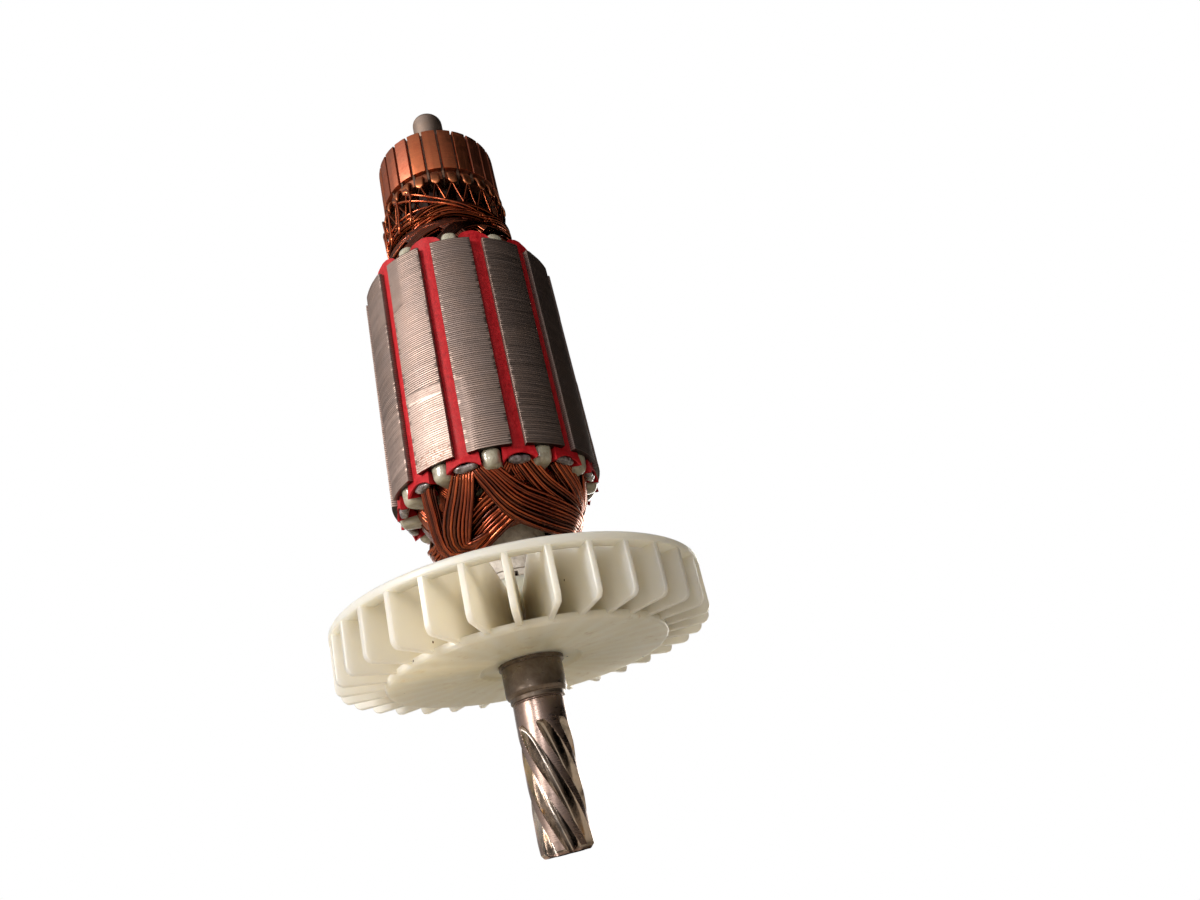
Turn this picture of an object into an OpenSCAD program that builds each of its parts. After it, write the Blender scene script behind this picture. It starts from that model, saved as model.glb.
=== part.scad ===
// Motor armature with a seven-tooth helical pinion, a twenty-four bar commutator and a moulded fan.
// Z runs along the shaft. The pinion's end face is at Z = 0 and the commutator is at the top.
// All sizes are in millimetres.

/* [Shaft] */
// Whole length of the shaft
shaft_len = 188; // [150:0.5:230]
// Diameter of the commutator end journal
journal_d = 8; // [6:0.1:12]
// Diameter of the drive end bearing seat
seat_d = 12; // [9:0.1:17]
// Lower end of the drive end bearing seat
seat_z0 = 28.8; // [24:0.1:34]
// Diameter of the plain neck above the pinion
neck_d = 10; // [8:0.1:11.5]
// Diameter of the shaft inside the stack and the commutator
core_d = 11; // [9:0.1:14]

/* [Pinion] */
// Number of teeth
teeth = 7; // [5:1:9]
// Outside diameter of the teeth
tip_d = 9.9; // [8:0.05:11]
// Diameter at the bottom of the flutes
root_d = 6.2; // [5:0.05:8]
// Turn of the teeth for each millimetre of length
twist_rate = 5.5; // [3:0.1:8]
// Length of the flutes with their run-out
flute_len = 22.8; // [15:0.1:26]
// Length over which the cutter runs out of the shaft
runout_len = 6; // [3:0.1:10]
// Size of the bevel on the end of the teeth
tip_bevel = 0.7; // [0.3:0.05:1.5]
// Angle of the first tooth at the end face
tooth_turn = 5; // [0:0.5:51]

/* [Lamination stack] */
// Outside diameter of the stack
stack_d = 45; // [38:0.1:54]
// Lower face of the stack
stack_z0 = 71.5; // [65:0.1:80]
// Length of the stack
stack_len = 53; // [40:0.5:70]
// Number of slots
slots = 12; // [10:1:16]
// Angle of the first slot
slot_turn = 15; // [0:0.5:30]
// Width of the mouth of a slot
mouth_w = 2.8; // [2:0.05:4]
// Thickness of a tooth's lip beside the mouth
lip_t = 1.3; // [0.8:0.05:2]
// Half width of a slot just under the lips
slot_hw = 3.4; // [2.8:0.05:4]
// Half width of a slot at its rounded bottom
slot_br = 1.5; // [1:0.05:2]
// Distance of the rounded bottom from the axis
slot_bc = 12; // [11:0.1:14]
// Thickness of the slot paper
paper_t = 0.35; // [0.2:0.05:0.6]
// How far the slot paper stands out of the stack
paper_out = 2.6; // [1:0.1:4]
// Height of the end insulators
insul_h = 3.9; // [2:0.1:6]
// Width of an end insulator's arm
insul_w = 3.7; // [3:0.1:4.2]

/* [Commutator] */
// Outside diameter of the brush track
com_d = 30; // [24:0.1:36]
// Lower edge of the brush track
com_z0 = 154.2; // [148:0.1:160]
// Length of the brush track
com_len = 13.5; // [9:0.1:20]
// Number of bars
bars = 24; // [20:2:32]
// Angle of the first gap between two bars
bar_turn = 6.6; // [0:0.1:15]
// Gap between two bars
bar_gap = 0.6; // [0.4:0.05:1]
// Depth of the undercut between two bars
undercut = 0.7; // [0.4:0.05:1.2]
// Diameter of the riser below the brush track
riser_d = 27.6; // [22:0.1:29]
// Width of a hook
hook_w = 1.8; // [1.2:0.05:2.4]
// Thickness of a hook
hook_t = 0.75; // [0.5:0.05:1.2]
// Length of a hook along the shaft
hook_len = 4.9; // [3:0.1:6]
// Angle of a hook from the middle of its bar
hook_turn = -1.3; // [-3:0.1:3]

/* [Fan] */
// Diameter of the fan's upper ring
fan_d = 72.6; // [60:0.1:84]
// Upper face of the ring
fan_z1 = 45.9; // [42:0.1:52]
// Thickness of the ring
ring_t = 1.7; // [1:0.1:3]
// Width of the ring across its face
ring_w = 3.2; // [2:0.1:8]
// Number of vanes
vanes = 32; // [20:1:40]
// Angle of the first vane
vane_turn = 9.75; // [0:0.25:11.25]
// Thickness of a vane
vane_t = 1.3; // [0.8:0.1:2]
// Height at which a vane leaves the hub
vane_in_z = 46.4; // [42:0.1:49]
// Height of the highest point of a vane
vane_top_z = 49.8; // [46:0.1:53]
// Radius of the highest point of a vane
vane_top_r = 23.5; // [18:0.1:28]
// Radius of a vane's lower outer corner
vane_low_r = 34.4; // [30:0.1:36]
// Height of a vane's lower outer corner
vane_low_z = 35; // [34:0.1:38]
// Diameter of the back disc
disc_d = 55.8; // [44:0.1:66]
// Lower face of the back disc at its rim
disc_z0 = 33.7; // [32:0.1:36]
// Thickness of the back disc
disc_t = 1.5; // [1:0.1:2.5]
// Diameter of the fan's hub
fan_hub_d = 16.6; // [14:0.1:22]
// Upper end of the fan's hub
fan_hub_z1 = 49.9; // [46:0.1:56]
// Diameter of the rough sleeve between the fan and the stack
sleeve_d = 15.8; // [13:0.1:19]
// Width of the six notches in the sleeve's lower end
notch_w = 0.8; // [0.4:0.1:3]
// Angle of the first notch
notch_turn = 34; // [0:1:60]

/* [Winding] */
// Slots from one side of a coil to the other
coil_span = 5; // [4:1:6]
// Height of the coil ends over the stack
coil_h = 14.4; // [11:0.1:18]
// Diameter of the band of leads below the hooks
lead_d = 31.6; // [26:0.1:34]
// How far a lead turns around the shaft on its way to its hook
lead_turn = 62; // [20:1:120]

/* [Hidden] */
stack_z1 = stack_z0 + stack_len;
com_z1 = com_z0 + com_len;
pitch = 360 / slots;
bar_pitch = 360 / bars;
clear = 0.05;
lip_r = stack_d / 2 - lip_t;
bar_r0 = 10.4;
riser_z0 = com_z0 - 2.6;
lead_z0 = stack_z1 + coil_h + 1.3;
lead_z1 = com_z0 - 5.3;

function slot_angle(i) = i * pitch + slot_turn;
function bar_angle(i) = i * bar_pitch + bar_turn;
function two(i) = i < 10 ? str("0", i) : str(i);
function polar(r, a, z) = [r * cos(a), r * sin(a), z];
function unit(v) = v / norm(v);
function middle(ring) = [for (v = ring) 1] * ring / len(ring);

// Closed solid through rings that all have n points, with flat ends around each ring's middle
module skin(rings, closed = false) {
    n = len(rings[0]);
    m = len(rings);
    last = closed ? m - 1 : m - 2;
    middles = closed ? [] : [middle(rings[0]), middle(rings[m - 1])];
    walls = [for (i = [0 : last]) for (j = [0 : n - 1])
        let (a = i * n, b = ((i + 1) % m) * n, k = (j + 1) % n)
        each [[a + j, b + k, a + k], [a + j, b + j, b + k]]];
    ends = closed ? [] : [for (j = [0 : n - 1])
        let (a = (m - 1) * n, k = (j + 1) % n)
        each [[m * n, j, k], [m * n + 1, a + k, a + j]]];
    polyhedron(points = concat([for (r = rings) each r], middles),
               faces = concat(walls, ends), convexity = 8);
}

// ---- shaft and pinion ----

// One tooth from the middle of a flute: angle as a share of the pitch, height as a share of the depth
tooth_form = [[-0.5, 0], [-0.43, 0.03], [-0.36, 0.13], [-0.3, 0.34], [-0.24, 0.66], [-0.175, 0.96],
              [0, 1], [0.175, 0.96], [0.24, 0.66], [0.3, 0.34], [0.36, 0.13], [0.43, 0.03]];

// Radius of the pinion at height z, where s is the share of the tooth's full height.
// The flute keeps its shape while it rises out of the shaft, so its end comes out rounded.
function tooth_r(z, s) =
    let (out = max(0, (z - (flute_len - runout_len)) / runout_len),
         rise = (neck_d - root_d) / 2 * (1 - sqrt(max(0, 1 - out * out))),
         top = min(tip_d / 2 + (neck_d / 2 - 0.02 - tip_d / 2) * min(1, out * 3), tip_d / 2 - tip_bevel + z))
    min(top, root_d / 2 + (tip_d - root_d) / 2 * s + rise);

function pinion_ring(z) =
    [for (t = [0 : teeth - 1]) for (p = tooth_form)
        polar(tooth_r(z, p[1]), (t + p[0]) * 360 / teeth + tooth_turn - twist_rate * z, z)];

module pinion() {
    full_len = flute_len - runout_len;
    levels = concat([0, tip_bevel], [for (i = [1 : 16]) tip_bevel + i * (full_len - tip_bevel) / 16],
                    [for (i = [1 : 9]) flute_len - runout_len * (1 - i / 9)]);
    skin([for (z = levels) pinion_ring(z)]);
}

module shaft() color([0.5, 0.47, 0.44]) {
    pinion();
    rotate_extrude($fn = 96) polygon([
        [0, flute_len], [neck_d / 2, flute_len], [neck_d / 2, seat_z0 - 2],
        [neck_d / 2 - 0.2, seat_z0 - 1.9], [neck_d / 2 - 0.2, seat_z0 - 1.7],
        [neck_d / 2 + 0.3, seat_z0 - 1.6], [neck_d / 2 + 0.3, seat_z0 - 0.7],
        [seat_d / 2 - 0.35, seat_z0 - 0.6], [seat_d / 2, seat_z0], [seat_d / 2, disc_z0 + 0.3],
        [core_d / 2 + 0.9, disc_z0 + 0.3], [core_d / 2 + 0.9, fan_hub_z1], [core_d / 2, fan_hub_z1],
        [core_d / 2, com_z0 - 5], [core_d / 2 - 0.5, com_z0 - 5], [core_d / 2 - 0.5, com_z1 - 0.5],
        [journal_d / 2, com_z1 - 0.5], [journal_d / 2, shaft_len - 1.4],
        [journal_d / 2 - 0.35, shaft_len - 0.6], [journal_d / 2 - 1.1, shaft_len], [0, shaft_len]]);
}

// ---- lamination stack ----

// Outline of a slot, drawn pointing along X and grown inwards by g
module slot_shape(g, r_top) {
    polygon([[slot_bc, -(slot_br - g)], [r_top - g, -(slot_hw - g)],
             [r_top - g, slot_hw - g], [slot_bc, slot_br - g]]);
    translate([slot_bc, 0]) circle(r = slot_br - g, $fn = 40);
}

module lamination_stack() color([0.45, 0.41, 0.38])
    translate([0, 0, stack_z0]) linear_extrude(stack_len) difference() {
        circle(d = stack_d, $fn = 180);
        circle(d = core_d, $fn = 96);
        for (i = [0 : slots - 1]) rotate(slot_angle(i)) {
            slot_shape(0, lip_r);
            translate([lip_r - 0.1, -mouth_w / 2]) square([lip_t + 1, mouth_w]);
        }
    }

// Red paper that lines a slot, closed across the mouth, with its coil sides inside
module slot_paper(i) color([0.75, 0.1, 0.12])
    rotate(slot_angle(i)) translate([0, 0, stack_z0 - paper_out])
        linear_extrude(stack_len + 2 * paper_out) difference() {
            slot_shape(clear, lip_r);
            slot_shape(clear + paper_t, lip_r);
        }

// Moulded star that covers one end of the stack
module insulator() color([0.62, 0.6, 0.54]) {
    arm_r = stack_d / 2 - 0.9;
    difference() {
        union() {
            cylinder(h = insul_h - 0.9, r = slot_bc - slot_br - 0.25, $fn = 96);
            for (i = [0 : slots - 1]) rotate(slot_angle(i + 0.5)) {
                translate([slot_bc - slot_br - 1.5, -insul_w / 2, 0])
                    cube([arm_r - insul_w / 2 - slot_bc + slot_br + 1.5, insul_w, insul_h - 0.8]);
                translate([arm_r - insul_w / 2, 0, 0]) cylinder(h = insul_h - 0.8, d = insul_w, $fn = 40);
                translate([arm_r - insul_w / 2, 0, insul_h - 0.8]) rotate([0, -90, 0])
                    intersection() {
                        cylinder(h = 5.5, d = insul_w, $fn = 40);
                        translate([0, -insul_w, 0]) cube([0.8, 2 * insul_w, 5.5]);
                    }
            }
        }
        translate([0, 0, -1]) cylinder(h = insul_h + 2, d = core_d + 5, $fn = 96);
        for (i = [0 : slots - 1]) rotate(slot_angle(i)) translate([0, 0, -1])
            linear_extrude(insul_h + 2) slot_shape(0, stack_d / 2 + 1);
    }
}

// ---- commutator ----

// One bar with its riser and the hook that is bent over the lead
module commutator_bar(i) color([0.78, 0.42, 0.28])
    rotate(bar_angle(i + 0.5)) {
        difference() {
            union() {
                rotate([0, 0, -bar_pitch / 2]) rotate_extrude(angle = bar_pitch, $fn = 180) polygon([
                    [bar_r0, riser_z0], [riser_d / 2, riser_z0], [riser_d / 2, com_z0], [com_d / 2, com_z0],
                    [com_d / 2, com_z1 - 0.3], [com_d / 2 - 0.3, com_z1], [bar_r0, com_z1]]);
            }
            for (s = [-1, 1]) rotate(s * bar_pitch / 2)
                translate([0, -bar_gap / 2, riser_z0 - 1]) cube([com_d, bar_gap, com_z1 - riser_z0 + 2]);
        }
        rotate(hook_turn) hook();
    }

// Hook as a bent strip with a rounded end
module hook() {
    r0 = riser_d / 2;
    tip_z = com_z0 - hook_len - 0.3;
    intersection() {
        rotate([90, 0, 0]) translate([0, 0, -hook_w / 2]) linear_extrude(hook_w) polygon([
            [r0 - 0.6, riser_z0 + 1.9], [r0 - 0.6, riser_z0 + 1], [r0 + 0.5, riser_z0 + 0.6],
            [r0 + 0.95, tip_z + 1.4], [r0 + 0.7, tip_z], [r0 + 0.7 + hook_t, tip_z + 0.1],
            [r0 + 0.95 + hook_t, tip_z + 1.4], [r0 + 0.6 + hook_t, riser_z0 + 1.4]]);
        union() {
            translate([0, -hook_w / 2, tip_z + hook_w / 2]) cube([com_d, hook_w, hook_len + 2]);
            translate([0, 0, tip_z + hook_w / 2]) rotate([0, 90, 0])
                cylinder(h = com_d, d = hook_w, $fn = 40);
        }
    }
}

// Moulding that carries the bars, with a thin wall in each gap
module commutator_core() color([0.2, 0.13, 0.1])
    difference() {
        union() {
            translate([0, 0, riser_z0 - 0.4]) cylinder(h = com_z1 - riser_z0, r = bar_r0 - clear, $fn = 120);
            for (i = [0 : bars - 1]) rotate(bar_angle(i))
                translate([bar_r0 - 0.6, -(bar_gap / 2 - clear), riser_z0])
                    cube([com_d / 2 - undercut - bar_r0 + 0.6, bar_gap - 2 * clear, com_z1 - riser_z0 - 0.4]);
        }
        translate([0, 0, riser_z0 - 2]) cylinder(h = com_len + 8, d = core_d - 1, $fn = 96);
    }

// ---- winding ----

// Coil end: angle along the span, radius, height over the stack, half thickness, half width
coil_line = [
    [0, 18.3, 0.5, 1.85, 1.95], [0, 18.5, 4.2, 1.75, 2.2], [1, 18.6, 8.2, 1.5, 2.75],
    [4, 18.4, 11.8, 1.25, 2.6], [9, 17.6, 13.9, 1.05, 2.2], [16, 16.6, 14.6, 0.98, 1.9],
    [25, 15.6, 14.2, 0.97, 1.75], [36, 14.8, 13.3, 0.97, 1.65], [50, 14.4, 12.2, 0.97, 1.85],
    [65, 13.9, 11.15, 0.97, 1.95], [80, 13.2, 10.15, 0.95, 1.7], [95, 12.5, 9.1, 0.96, 1.4],
    [110, 12.1, 8, 0.96, 1.15], [125, 12.4, 6.9, 0.97, 1.05], [137, 13, 6.1, 1.05, 1.05],
    [145, 13.6, 5.1, 1.1, 1.05], [149, 13.9, 3.4, 1.3, 1.15], [150, 13.9, 0.5, 1.8, 1.2]];
line_span = 150;
line_h = 14.4;

function line_angle(s) = s[0] * coil_span * pitch / line_span;

function coil_point(s, up) =
    let (h = s[2] * coil_h / line_h)
    polar(s[1], line_angle(s), up > 0 ? stack_z1 + h : stack_z0 - h);

// Direction out of the winding at a station, seen from the middle of the coil ends
function coil_out(s, up) =
    let (a = line_angle(s), h = max(0, s[2] - 5) * 1.2)
    s[2] < 5 ? polar(1, a, 0) : unit([(s[1] - 13.6) * cos(a), (s[1] - 13.6) * sin(a), up * h]);

function coil_ring(p, before, after, out, s) =
    let (t = unit(after - before), n = unit(out - (out * t) * t), b = cross(t, n))
    [for (k = [0 : 7]) p + n * s[3] * cos(k * 45 + 22.5) * 1.06 + b * s[4] * sin(k * 45 + 22.5) * 1.06];

// One coil: out of a slot's outer half, around the end, and back down the inner half of another slot
module coil(i) color([0.55, 0.22, 0.12])
    rotate(slot_angle(i)) {
        n = len(coil_line);
        pts = concat([for (s = coil_line) coil_point(s, 1)],
                     [for (k = [n - 1 : -1 : 0]) coil_point(coil_line[k], -1)]);
        outs = concat([for (s = coil_line) coil_out(s, 1)],
                      [for (k = [n - 1 : -1 : 0]) coil_out(coil_line[k], -1)]);
        sizes = concat(coil_line, [for (k = [n - 1 : -1 : 0]) coil_line[k]]);
        m = len(pts);
        skin([for (k = [0 : m - 1])
            coil_ring(pts[k], pts[(k + m - 1) % m], pts[(k + 1) % m], outs[k], sizes[k])], closed = true);
    }

// Leads that wind up from the coils to the hooks, two to each slot
function lead_ring(z) =
    let (u = (z - lead_z0) / (lead_z1 - lead_z0), r = lead_d / 2 - 0.25 - 1.7 * u * u * u)
    [for (i = [0 : bars - 1]) for (p = [[0, 0.55], [0.25, 0.16], [0.5, -0.45], [0.75, 0.16]])
        polar(r + p[1], bar_angle(i + p[0] + 0.5) + hook_turn - lead_turn * (1 - u), z)];

module lead_band() color([0.5, 0.2, 0.12])
    difference() {
        skin([for (k = [0 : 10]) lead_ring(lead_z0 + (lead_z1 - lead_z0) * k / 10)]);
        translate([0, 0, lead_z0 - 1]) cylinder(h = lead_z1 - lead_z0 + 2, d = core_d + 1.2, $fn = 96);
    }

// ---- fan ----

// Rough insulating sleeve on the shaft with a notched lower end
module fan_sleeve() color([0.85, 0.83, 0.8])
    difference() {
        rotate_extrude($fn = 96) polygon([
            [core_d / 2 + clear, fan_hub_z1 + clear], [sleeve_d / 2 + 0.4, fan_hub_z1 + clear],
            [sleeve_d / 2 + 0.4, fan_hub_z1 + 1.3], [sleeve_d / 2, fan_hub_z1 + 1.5],
            [sleeve_d / 2, stack_z0 - insul_h - 0.4], [core_d / 2 + 2, stack_z0 - 0.3],
            [core_d / 2 + clear, stack_z0 - 0.3]]);
        for (a = [0 : 60 : 300]) rotate(a + notch_turn)
            translate([sleeve_d / 2 - 1, -notch_w / 2, fan_hub_z1 - 1]) cube([3, notch_w, 2.3]);
    }

// Radial vane, low at the hub, highest half way out and rounded at its lower outer corner
module vane() {
    hub_r = fan_hub_d / 2 - 0.2;
    ring_r = fan_d / 2 - ring_w;
    rotate([90, 0, 0]) translate([0, 0, -vane_t / 2]) linear_extrude(vane_t) polygon([
        [hub_r, disc_z0 + disc_t - 0.2], [disc_d / 2 - 1, disc_z0 + 0.4], [disc_d / 2, disc_z0],
        [vane_low_r - 2.2, vane_low_z - 0.45], [vane_low_r - 1.1, vane_low_z - 0.15],
        [vane_low_r - 0.35, vane_low_z + 0.6], [vane_low_r, vane_low_z + 1.5],
        [fan_d / 2 - 0.1, fan_z1 - ring_t], [fan_d / 2 - 0.3, fan_z1 - 0.4], [ring_r, fan_z1 - 0.4],
        [ring_r - 1.6, vane_top_z - 2.2], [vane_top_r + 4, vane_top_z - 0.5], [vane_top_r, vane_top_z],
        [vane_top_r - 4, vane_top_z - 0.6], [hub_r, vane_in_z]]);
}

// Fan with a back disc, radial vanes and a ring over their ends
module fan() color([0.9, 0.87, 0.76]) {
    difference() {
        union() {
            rotate_extrude($fn = 144) polygon([
                [core_d / 2 + 0.5, disc_z0 + 0.9], [9.4, disc_z0 + 0.9], [10.2, disc_z0 + 0.3],
                [disc_d / 2 - 0.4, disc_z0], [disc_d / 2, disc_z0 + 0.4], [disc_d / 2, disc_z0 + disc_t],
                [fan_hub_d / 2 + 2, disc_z0 + disc_t + 0.5], [fan_hub_d / 2, disc_z0 + disc_t + 2.4],
                [fan_hub_d / 2, fan_hub_z1], [core_d / 2 + 0.5, fan_hub_z1]]);
            for (i = [0 : vanes - 1]) rotate(i * 360 / vanes + vane_turn) vane();
            rotate_extrude($fn = 144) polygon([
                [fan_d / 2 - ring_w, fan_z1 - ring_t], [fan_d / 2 - 0.1, fan_z1 - ring_t],
                [fan_d / 2, fan_z1 - ring_t + 0.3], [fan_d / 2, fan_z1 - 0.4],
                [fan_d / 2 - 0.4, fan_z1], [fan_d / 2 - ring_w, fan_z1]]);
        }
        translate([0, 0, disc_z0 - 1])
            cylinder(h = fan_hub_z1 - disc_z0 + 2, d = core_d + 1.8 + 2 * clear, $fn = 96);
    }
}

shaft();
lamination_stack();
translate([0, 0, stack_z1]) insulator();  // insulator_upper
translate([0, 0, stack_z0]) mirror([0, 0, 1]) insulator();  // insulator_lower
commutator_core();
lead_band();
fan_sleeve();
fan();
for (i = [1 : slots]) slot_paper(i);
for (i = [1 : slots]) coil(i);
for (i = [1 : bars]) commutator_bar(i);
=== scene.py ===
import math
import random
import bpy
import bmesh
from mathutils import Vector, Matrix
from mathutils import noise as perlin


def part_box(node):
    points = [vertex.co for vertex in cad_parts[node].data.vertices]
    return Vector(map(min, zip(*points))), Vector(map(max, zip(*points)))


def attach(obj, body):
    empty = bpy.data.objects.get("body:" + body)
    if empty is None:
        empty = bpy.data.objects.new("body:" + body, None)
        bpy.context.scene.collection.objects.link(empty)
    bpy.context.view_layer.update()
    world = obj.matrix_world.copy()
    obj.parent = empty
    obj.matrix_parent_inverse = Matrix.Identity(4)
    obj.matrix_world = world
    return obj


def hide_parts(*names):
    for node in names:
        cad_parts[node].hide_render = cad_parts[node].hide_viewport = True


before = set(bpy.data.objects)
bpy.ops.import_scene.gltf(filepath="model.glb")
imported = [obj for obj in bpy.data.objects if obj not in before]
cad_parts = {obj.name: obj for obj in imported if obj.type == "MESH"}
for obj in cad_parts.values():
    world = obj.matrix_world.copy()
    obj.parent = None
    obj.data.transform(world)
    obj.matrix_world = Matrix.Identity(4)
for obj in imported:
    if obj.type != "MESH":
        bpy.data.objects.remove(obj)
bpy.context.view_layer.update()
scene = bpy.context.scene
scene.view_settings.view_transform = "Standard"
mm = 0.001


# lower end, upper end and reach along X of a solid, in millimetres
def boxOf(node):
    low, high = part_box(node)
    return low[2] / mm, high[2] / mm, high[0] / mm


stackLow, stackHigh, stackR = boxOf("lamination_stack")
fanLow, fanHigh, fanR = boxOf("fan")
sleeveLow = boxOf("fan_sleeve")[0]
shaftHigh = boxOf("shaft")[1]
barLow, barHigh, _ = boxOf("commutator_bar_01")
slotCount, barCount, vaneCount = 12, 24, 32
slotTurn, barTurn, vaneTurn = 15, 6.6, 9.75  # where the first one stands, in degrees
slotPitch, barPitch = 360 / slotCount, 360 / barCount

# close to the pinion and looking up along the shaft
cameraSet = {
    "lens": 24.69,
    "sensor": 36,
    "near": 0.002,
    "far": 50,
    "place": (0, -162.87, -3.84),
    "pan": 8.354,
    "tilt": 26.296,
    "roll": -14.667,
}


def addCamera():
    pan, tilt, roll = (math.radians(cameraSet[k]) for k in ("pan", "tilt", "roll"))
    forward = Vector((math.sin(pan) * math.cos(tilt), math.cos(pan) * math.cos(tilt), math.sin(tilt)))
    right = Vector((math.cos(pan), -math.sin(pan), 0))
    up = right.cross(forward)
    side = math.cos(roll) * right + math.sin(roll) * up
    top = -math.sin(roll) * right + math.cos(roll) * up
    data = bpy.data.cameras.new("camera")
    data.lens, data.sensor_width = cameraSet["lens"], cameraSet["sensor"]
    data.clip_start, data.clip_end = cameraSet["near"], cameraSet["far"]
    cam = bpy.data.objects.new("camera", data)
    m = Matrix((side, top, -forward)).transposed().to_4x4()
    m.translation = Vector(cameraSet["place"]) * mm
    cam.matrix_world = m
    scene.collection.objects.link(cam)
    scene.camera = cam


addCamera()
print("camera placed")


def polar(r, degrees, z):
    a = math.radians(degrees)
    return (r * math.cos(a), r * math.sin(a), z)


def spun(x, y, z, degrees):
    # a place turned about Z
    a = math.radians(degrees)
    return (x * math.cos(a) - y * math.sin(a), x * math.sin(a) + y * math.cos(a), z)


def fromFront(degrees):
    # angle counted from the front, from -180 to 180
    return (degrees + 90 + 180) % 360 - 180


def stackEnd(side):
    return stackLow if side < 0 else stackHigh


def between(a, b, t):
    return a + (b - a) * t


def ease(t):
    t = min(1, max(0, t))
    return t * t * (3 - 2 * t)


def wander(x, y, z, scale, seed=0):
    # smooth random number from -1 to 1 at a place in millimetres
    return perlin.noise(Vector((x / scale + seed * 7.31, y / scale - seed * 3.7, z / scale)))


def meshOf(name, verts, faces):
    # a mesh from places in millimetres
    mesh = bpy.data.meshes.new(name)
    mesh.from_pydata([(x * mm, y * mm, z * mm) for x, y, z in verts], [], faces)
    return mesh


def dressPiece(name, mesh, materials, sharp, nodes=(), slot=None, picks=()):
    # picks gives each face its material, and edges over sharp degrees stay sharp
    mesh.materials.clear()
    for m in materials:
        mesh.materials.append(m)
    for p, k in zip(mesh.polygons, picks):
        p.material_index = k
    mesh.shade_smooth()
    if sharp:
        mesh.set_sharp_from_angle(angle=math.radians(sharp))
    piece = bpy.data.objects.new(name, mesh)
    scene.collection.objects.link(piece)
    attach(piece, "root")
    if nodes:
        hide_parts(*nodes)


def addPiece(name, verts, faces, *rest):
    dressPiece(name, meshOf(name, verts, faces), *rest)


def ringFaces(rings, around, closed=False, first=0):
    # quads between rings that all have the same count of points
    faces = []
    for i in range(rings if closed else rings - 1):
        a, b = first + i * around, first + ((i + 1) % rings) * around
        for j in range(around):
            k = (j + 1) % around
            faces.append((a + j, a + k, b + k, b + j))
    return faces


def endFaces(rings, around, first=0):
    # the two faces that close a tube of rings
    last = first + (rings - 1) * around
    return [tuple(first + j for j in reversed(range(around))), tuple(last + j for j in range(around))]


def join(verts, faces, more, moreFaces):
    # adds another mesh's points and faces to these lists
    n = len(verts)
    verts += more
    faces += [tuple(n + v for v in f) for f in moreFaces]


def lathe(profile, around, wobble=None):
    # turns a closed outline of (radius, height) about Z; wobble adds to the radius
    verts = []
    for r, z in profile:
        for j in range(around):
            a = 360 * j / around
            verts.append(polar(r + (wobble(a, r, z) if wobble else 0), a, z))
    return verts, ringFaces(len(profile), around, True)


def rounded(points, size, steps=3, closed=False):
    # flat outline with its corners turned into short curves
    n = len(points)
    corners = range(n) if closed else range(1, n - 1)
    out = [] if closed else [points[0]]
    for i in corners:
        a, b, c = Vector(points[i - 1]), Vector(points[i]), Vector(points[(i + 1) % n])
        cut = min(size, (a - b).length * 0.45, (c - b).length * 0.45)
        p, q = b + (a - b).normalized() * cut, b + (c - b).normalized() * cut
        for k in range(steps + 1):
            t = k / steps
            out.append(tuple(p * (1 - t) ** 2 + b * 2 * t * (1 - t) + q * t * t))
    if not closed:
        out.append(points[-1])
    return out


# node materials: a node's inputs are given as plain values or as the sockets that feed them
def startFinish(name, color, metallic, roughness, more=None):
    m = bpy.data.materials.new(name)
    m.use_nodes = True
    bsdf = m.node_tree.nodes["Principled BSDF"]
    values = {"Base Color": (*color, 1), "Metallic": metallic, "Roughness": roughness}
    values.update(more or {})
    for key, value in values.items():
        bsdf.inputs[key].default_value = value
    return m, m.node_tree, bsdf


def feed(tree, bsdf, color, rough, normal):
    for key, socket in (("Base Color", color), ("Roughness", rough), ("Normal", normal)):
        if socket is not None:
            tree.links.new(socket, bsdf.inputs[key])


def addNode(tree, kind, inputs=None, out=0, **settings):
    n = tree.nodes.new("ShaderNode" + kind)
    for key, value in settings.items():
        setattr(n, key, value)
    for key, value in (inputs or {}).items():
        if isinstance(value, bpy.types.NodeSocket):
            tree.links.new(value, n.inputs[key])
        else:
            n.inputs[key].default_value = value
    return n.outputs[out]


def calc(tree, how, *values, **settings):
    return addNode(tree, "Math", dict(enumerate(values)), operation=how, **settings)


def axesOf(tree, vector):
    return list(addNode(tree, "SeparateXYZ", {"Vector": vector}).node.outputs)


def placeIn(tree, stretch=(1, 1, 1)):
    # place on the object in millimetres
    where = addNode(tree, "TexCoord", out="Object")
    return addNode(tree, "Mapping", {"Vector": where, "Scale": [1000 * s for s in stretch]})


def turnedPlace(tree, stretch=(1, 1, 1)):
    # angle in units of 1 mm at a radius of 10 mm, radius and height, all in millimetres
    x, y, z = axesOf(tree, placeIn(tree))
    flat = addNode(tree, "CombineXYZ", {"X": x, "Y": y})
    size = addNode(tree, "VectorMath", {0: flat}, out="Value", operation="LENGTH")
    arc = calc(tree, "MULTIPLY", calc(tree, "ARCTAN2", y, x), 10.0)
    both = addNode(tree, "CombineXYZ", {"X": arc, "Y": size, "Z": z})
    return addNode(tree, "Mapping", {"Vector": both, "Scale": stretch})


def cloud(tree, where, size, detail=3.0, rough=0.55, bend=0.0):
    # soft noise whose blotches are about size millimetres across
    return addNode(tree, "TexNoise", {"Vector": where, "Scale": 1 / size, "Detail": detail,
                                      "Roughness": rough, "Distortion": bend}, out="Fac")


def spread(tree, fac, stops):
    # colour ramp from a list of (position, colour)
    ramp = tree.nodes.new("ShaderNodeValToRGB")
    tree.links.new(fac, ramp.inputs[0])
    bits = ramp.color_ramp.elements
    while len(bits) < len(stops):
        bits.new(0.5)
    for bit, (at, color) in zip(bits, stops):
        bit.position = at
        bit.color = (*color, 1)
    return ramp.outputs["Color"]


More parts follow.
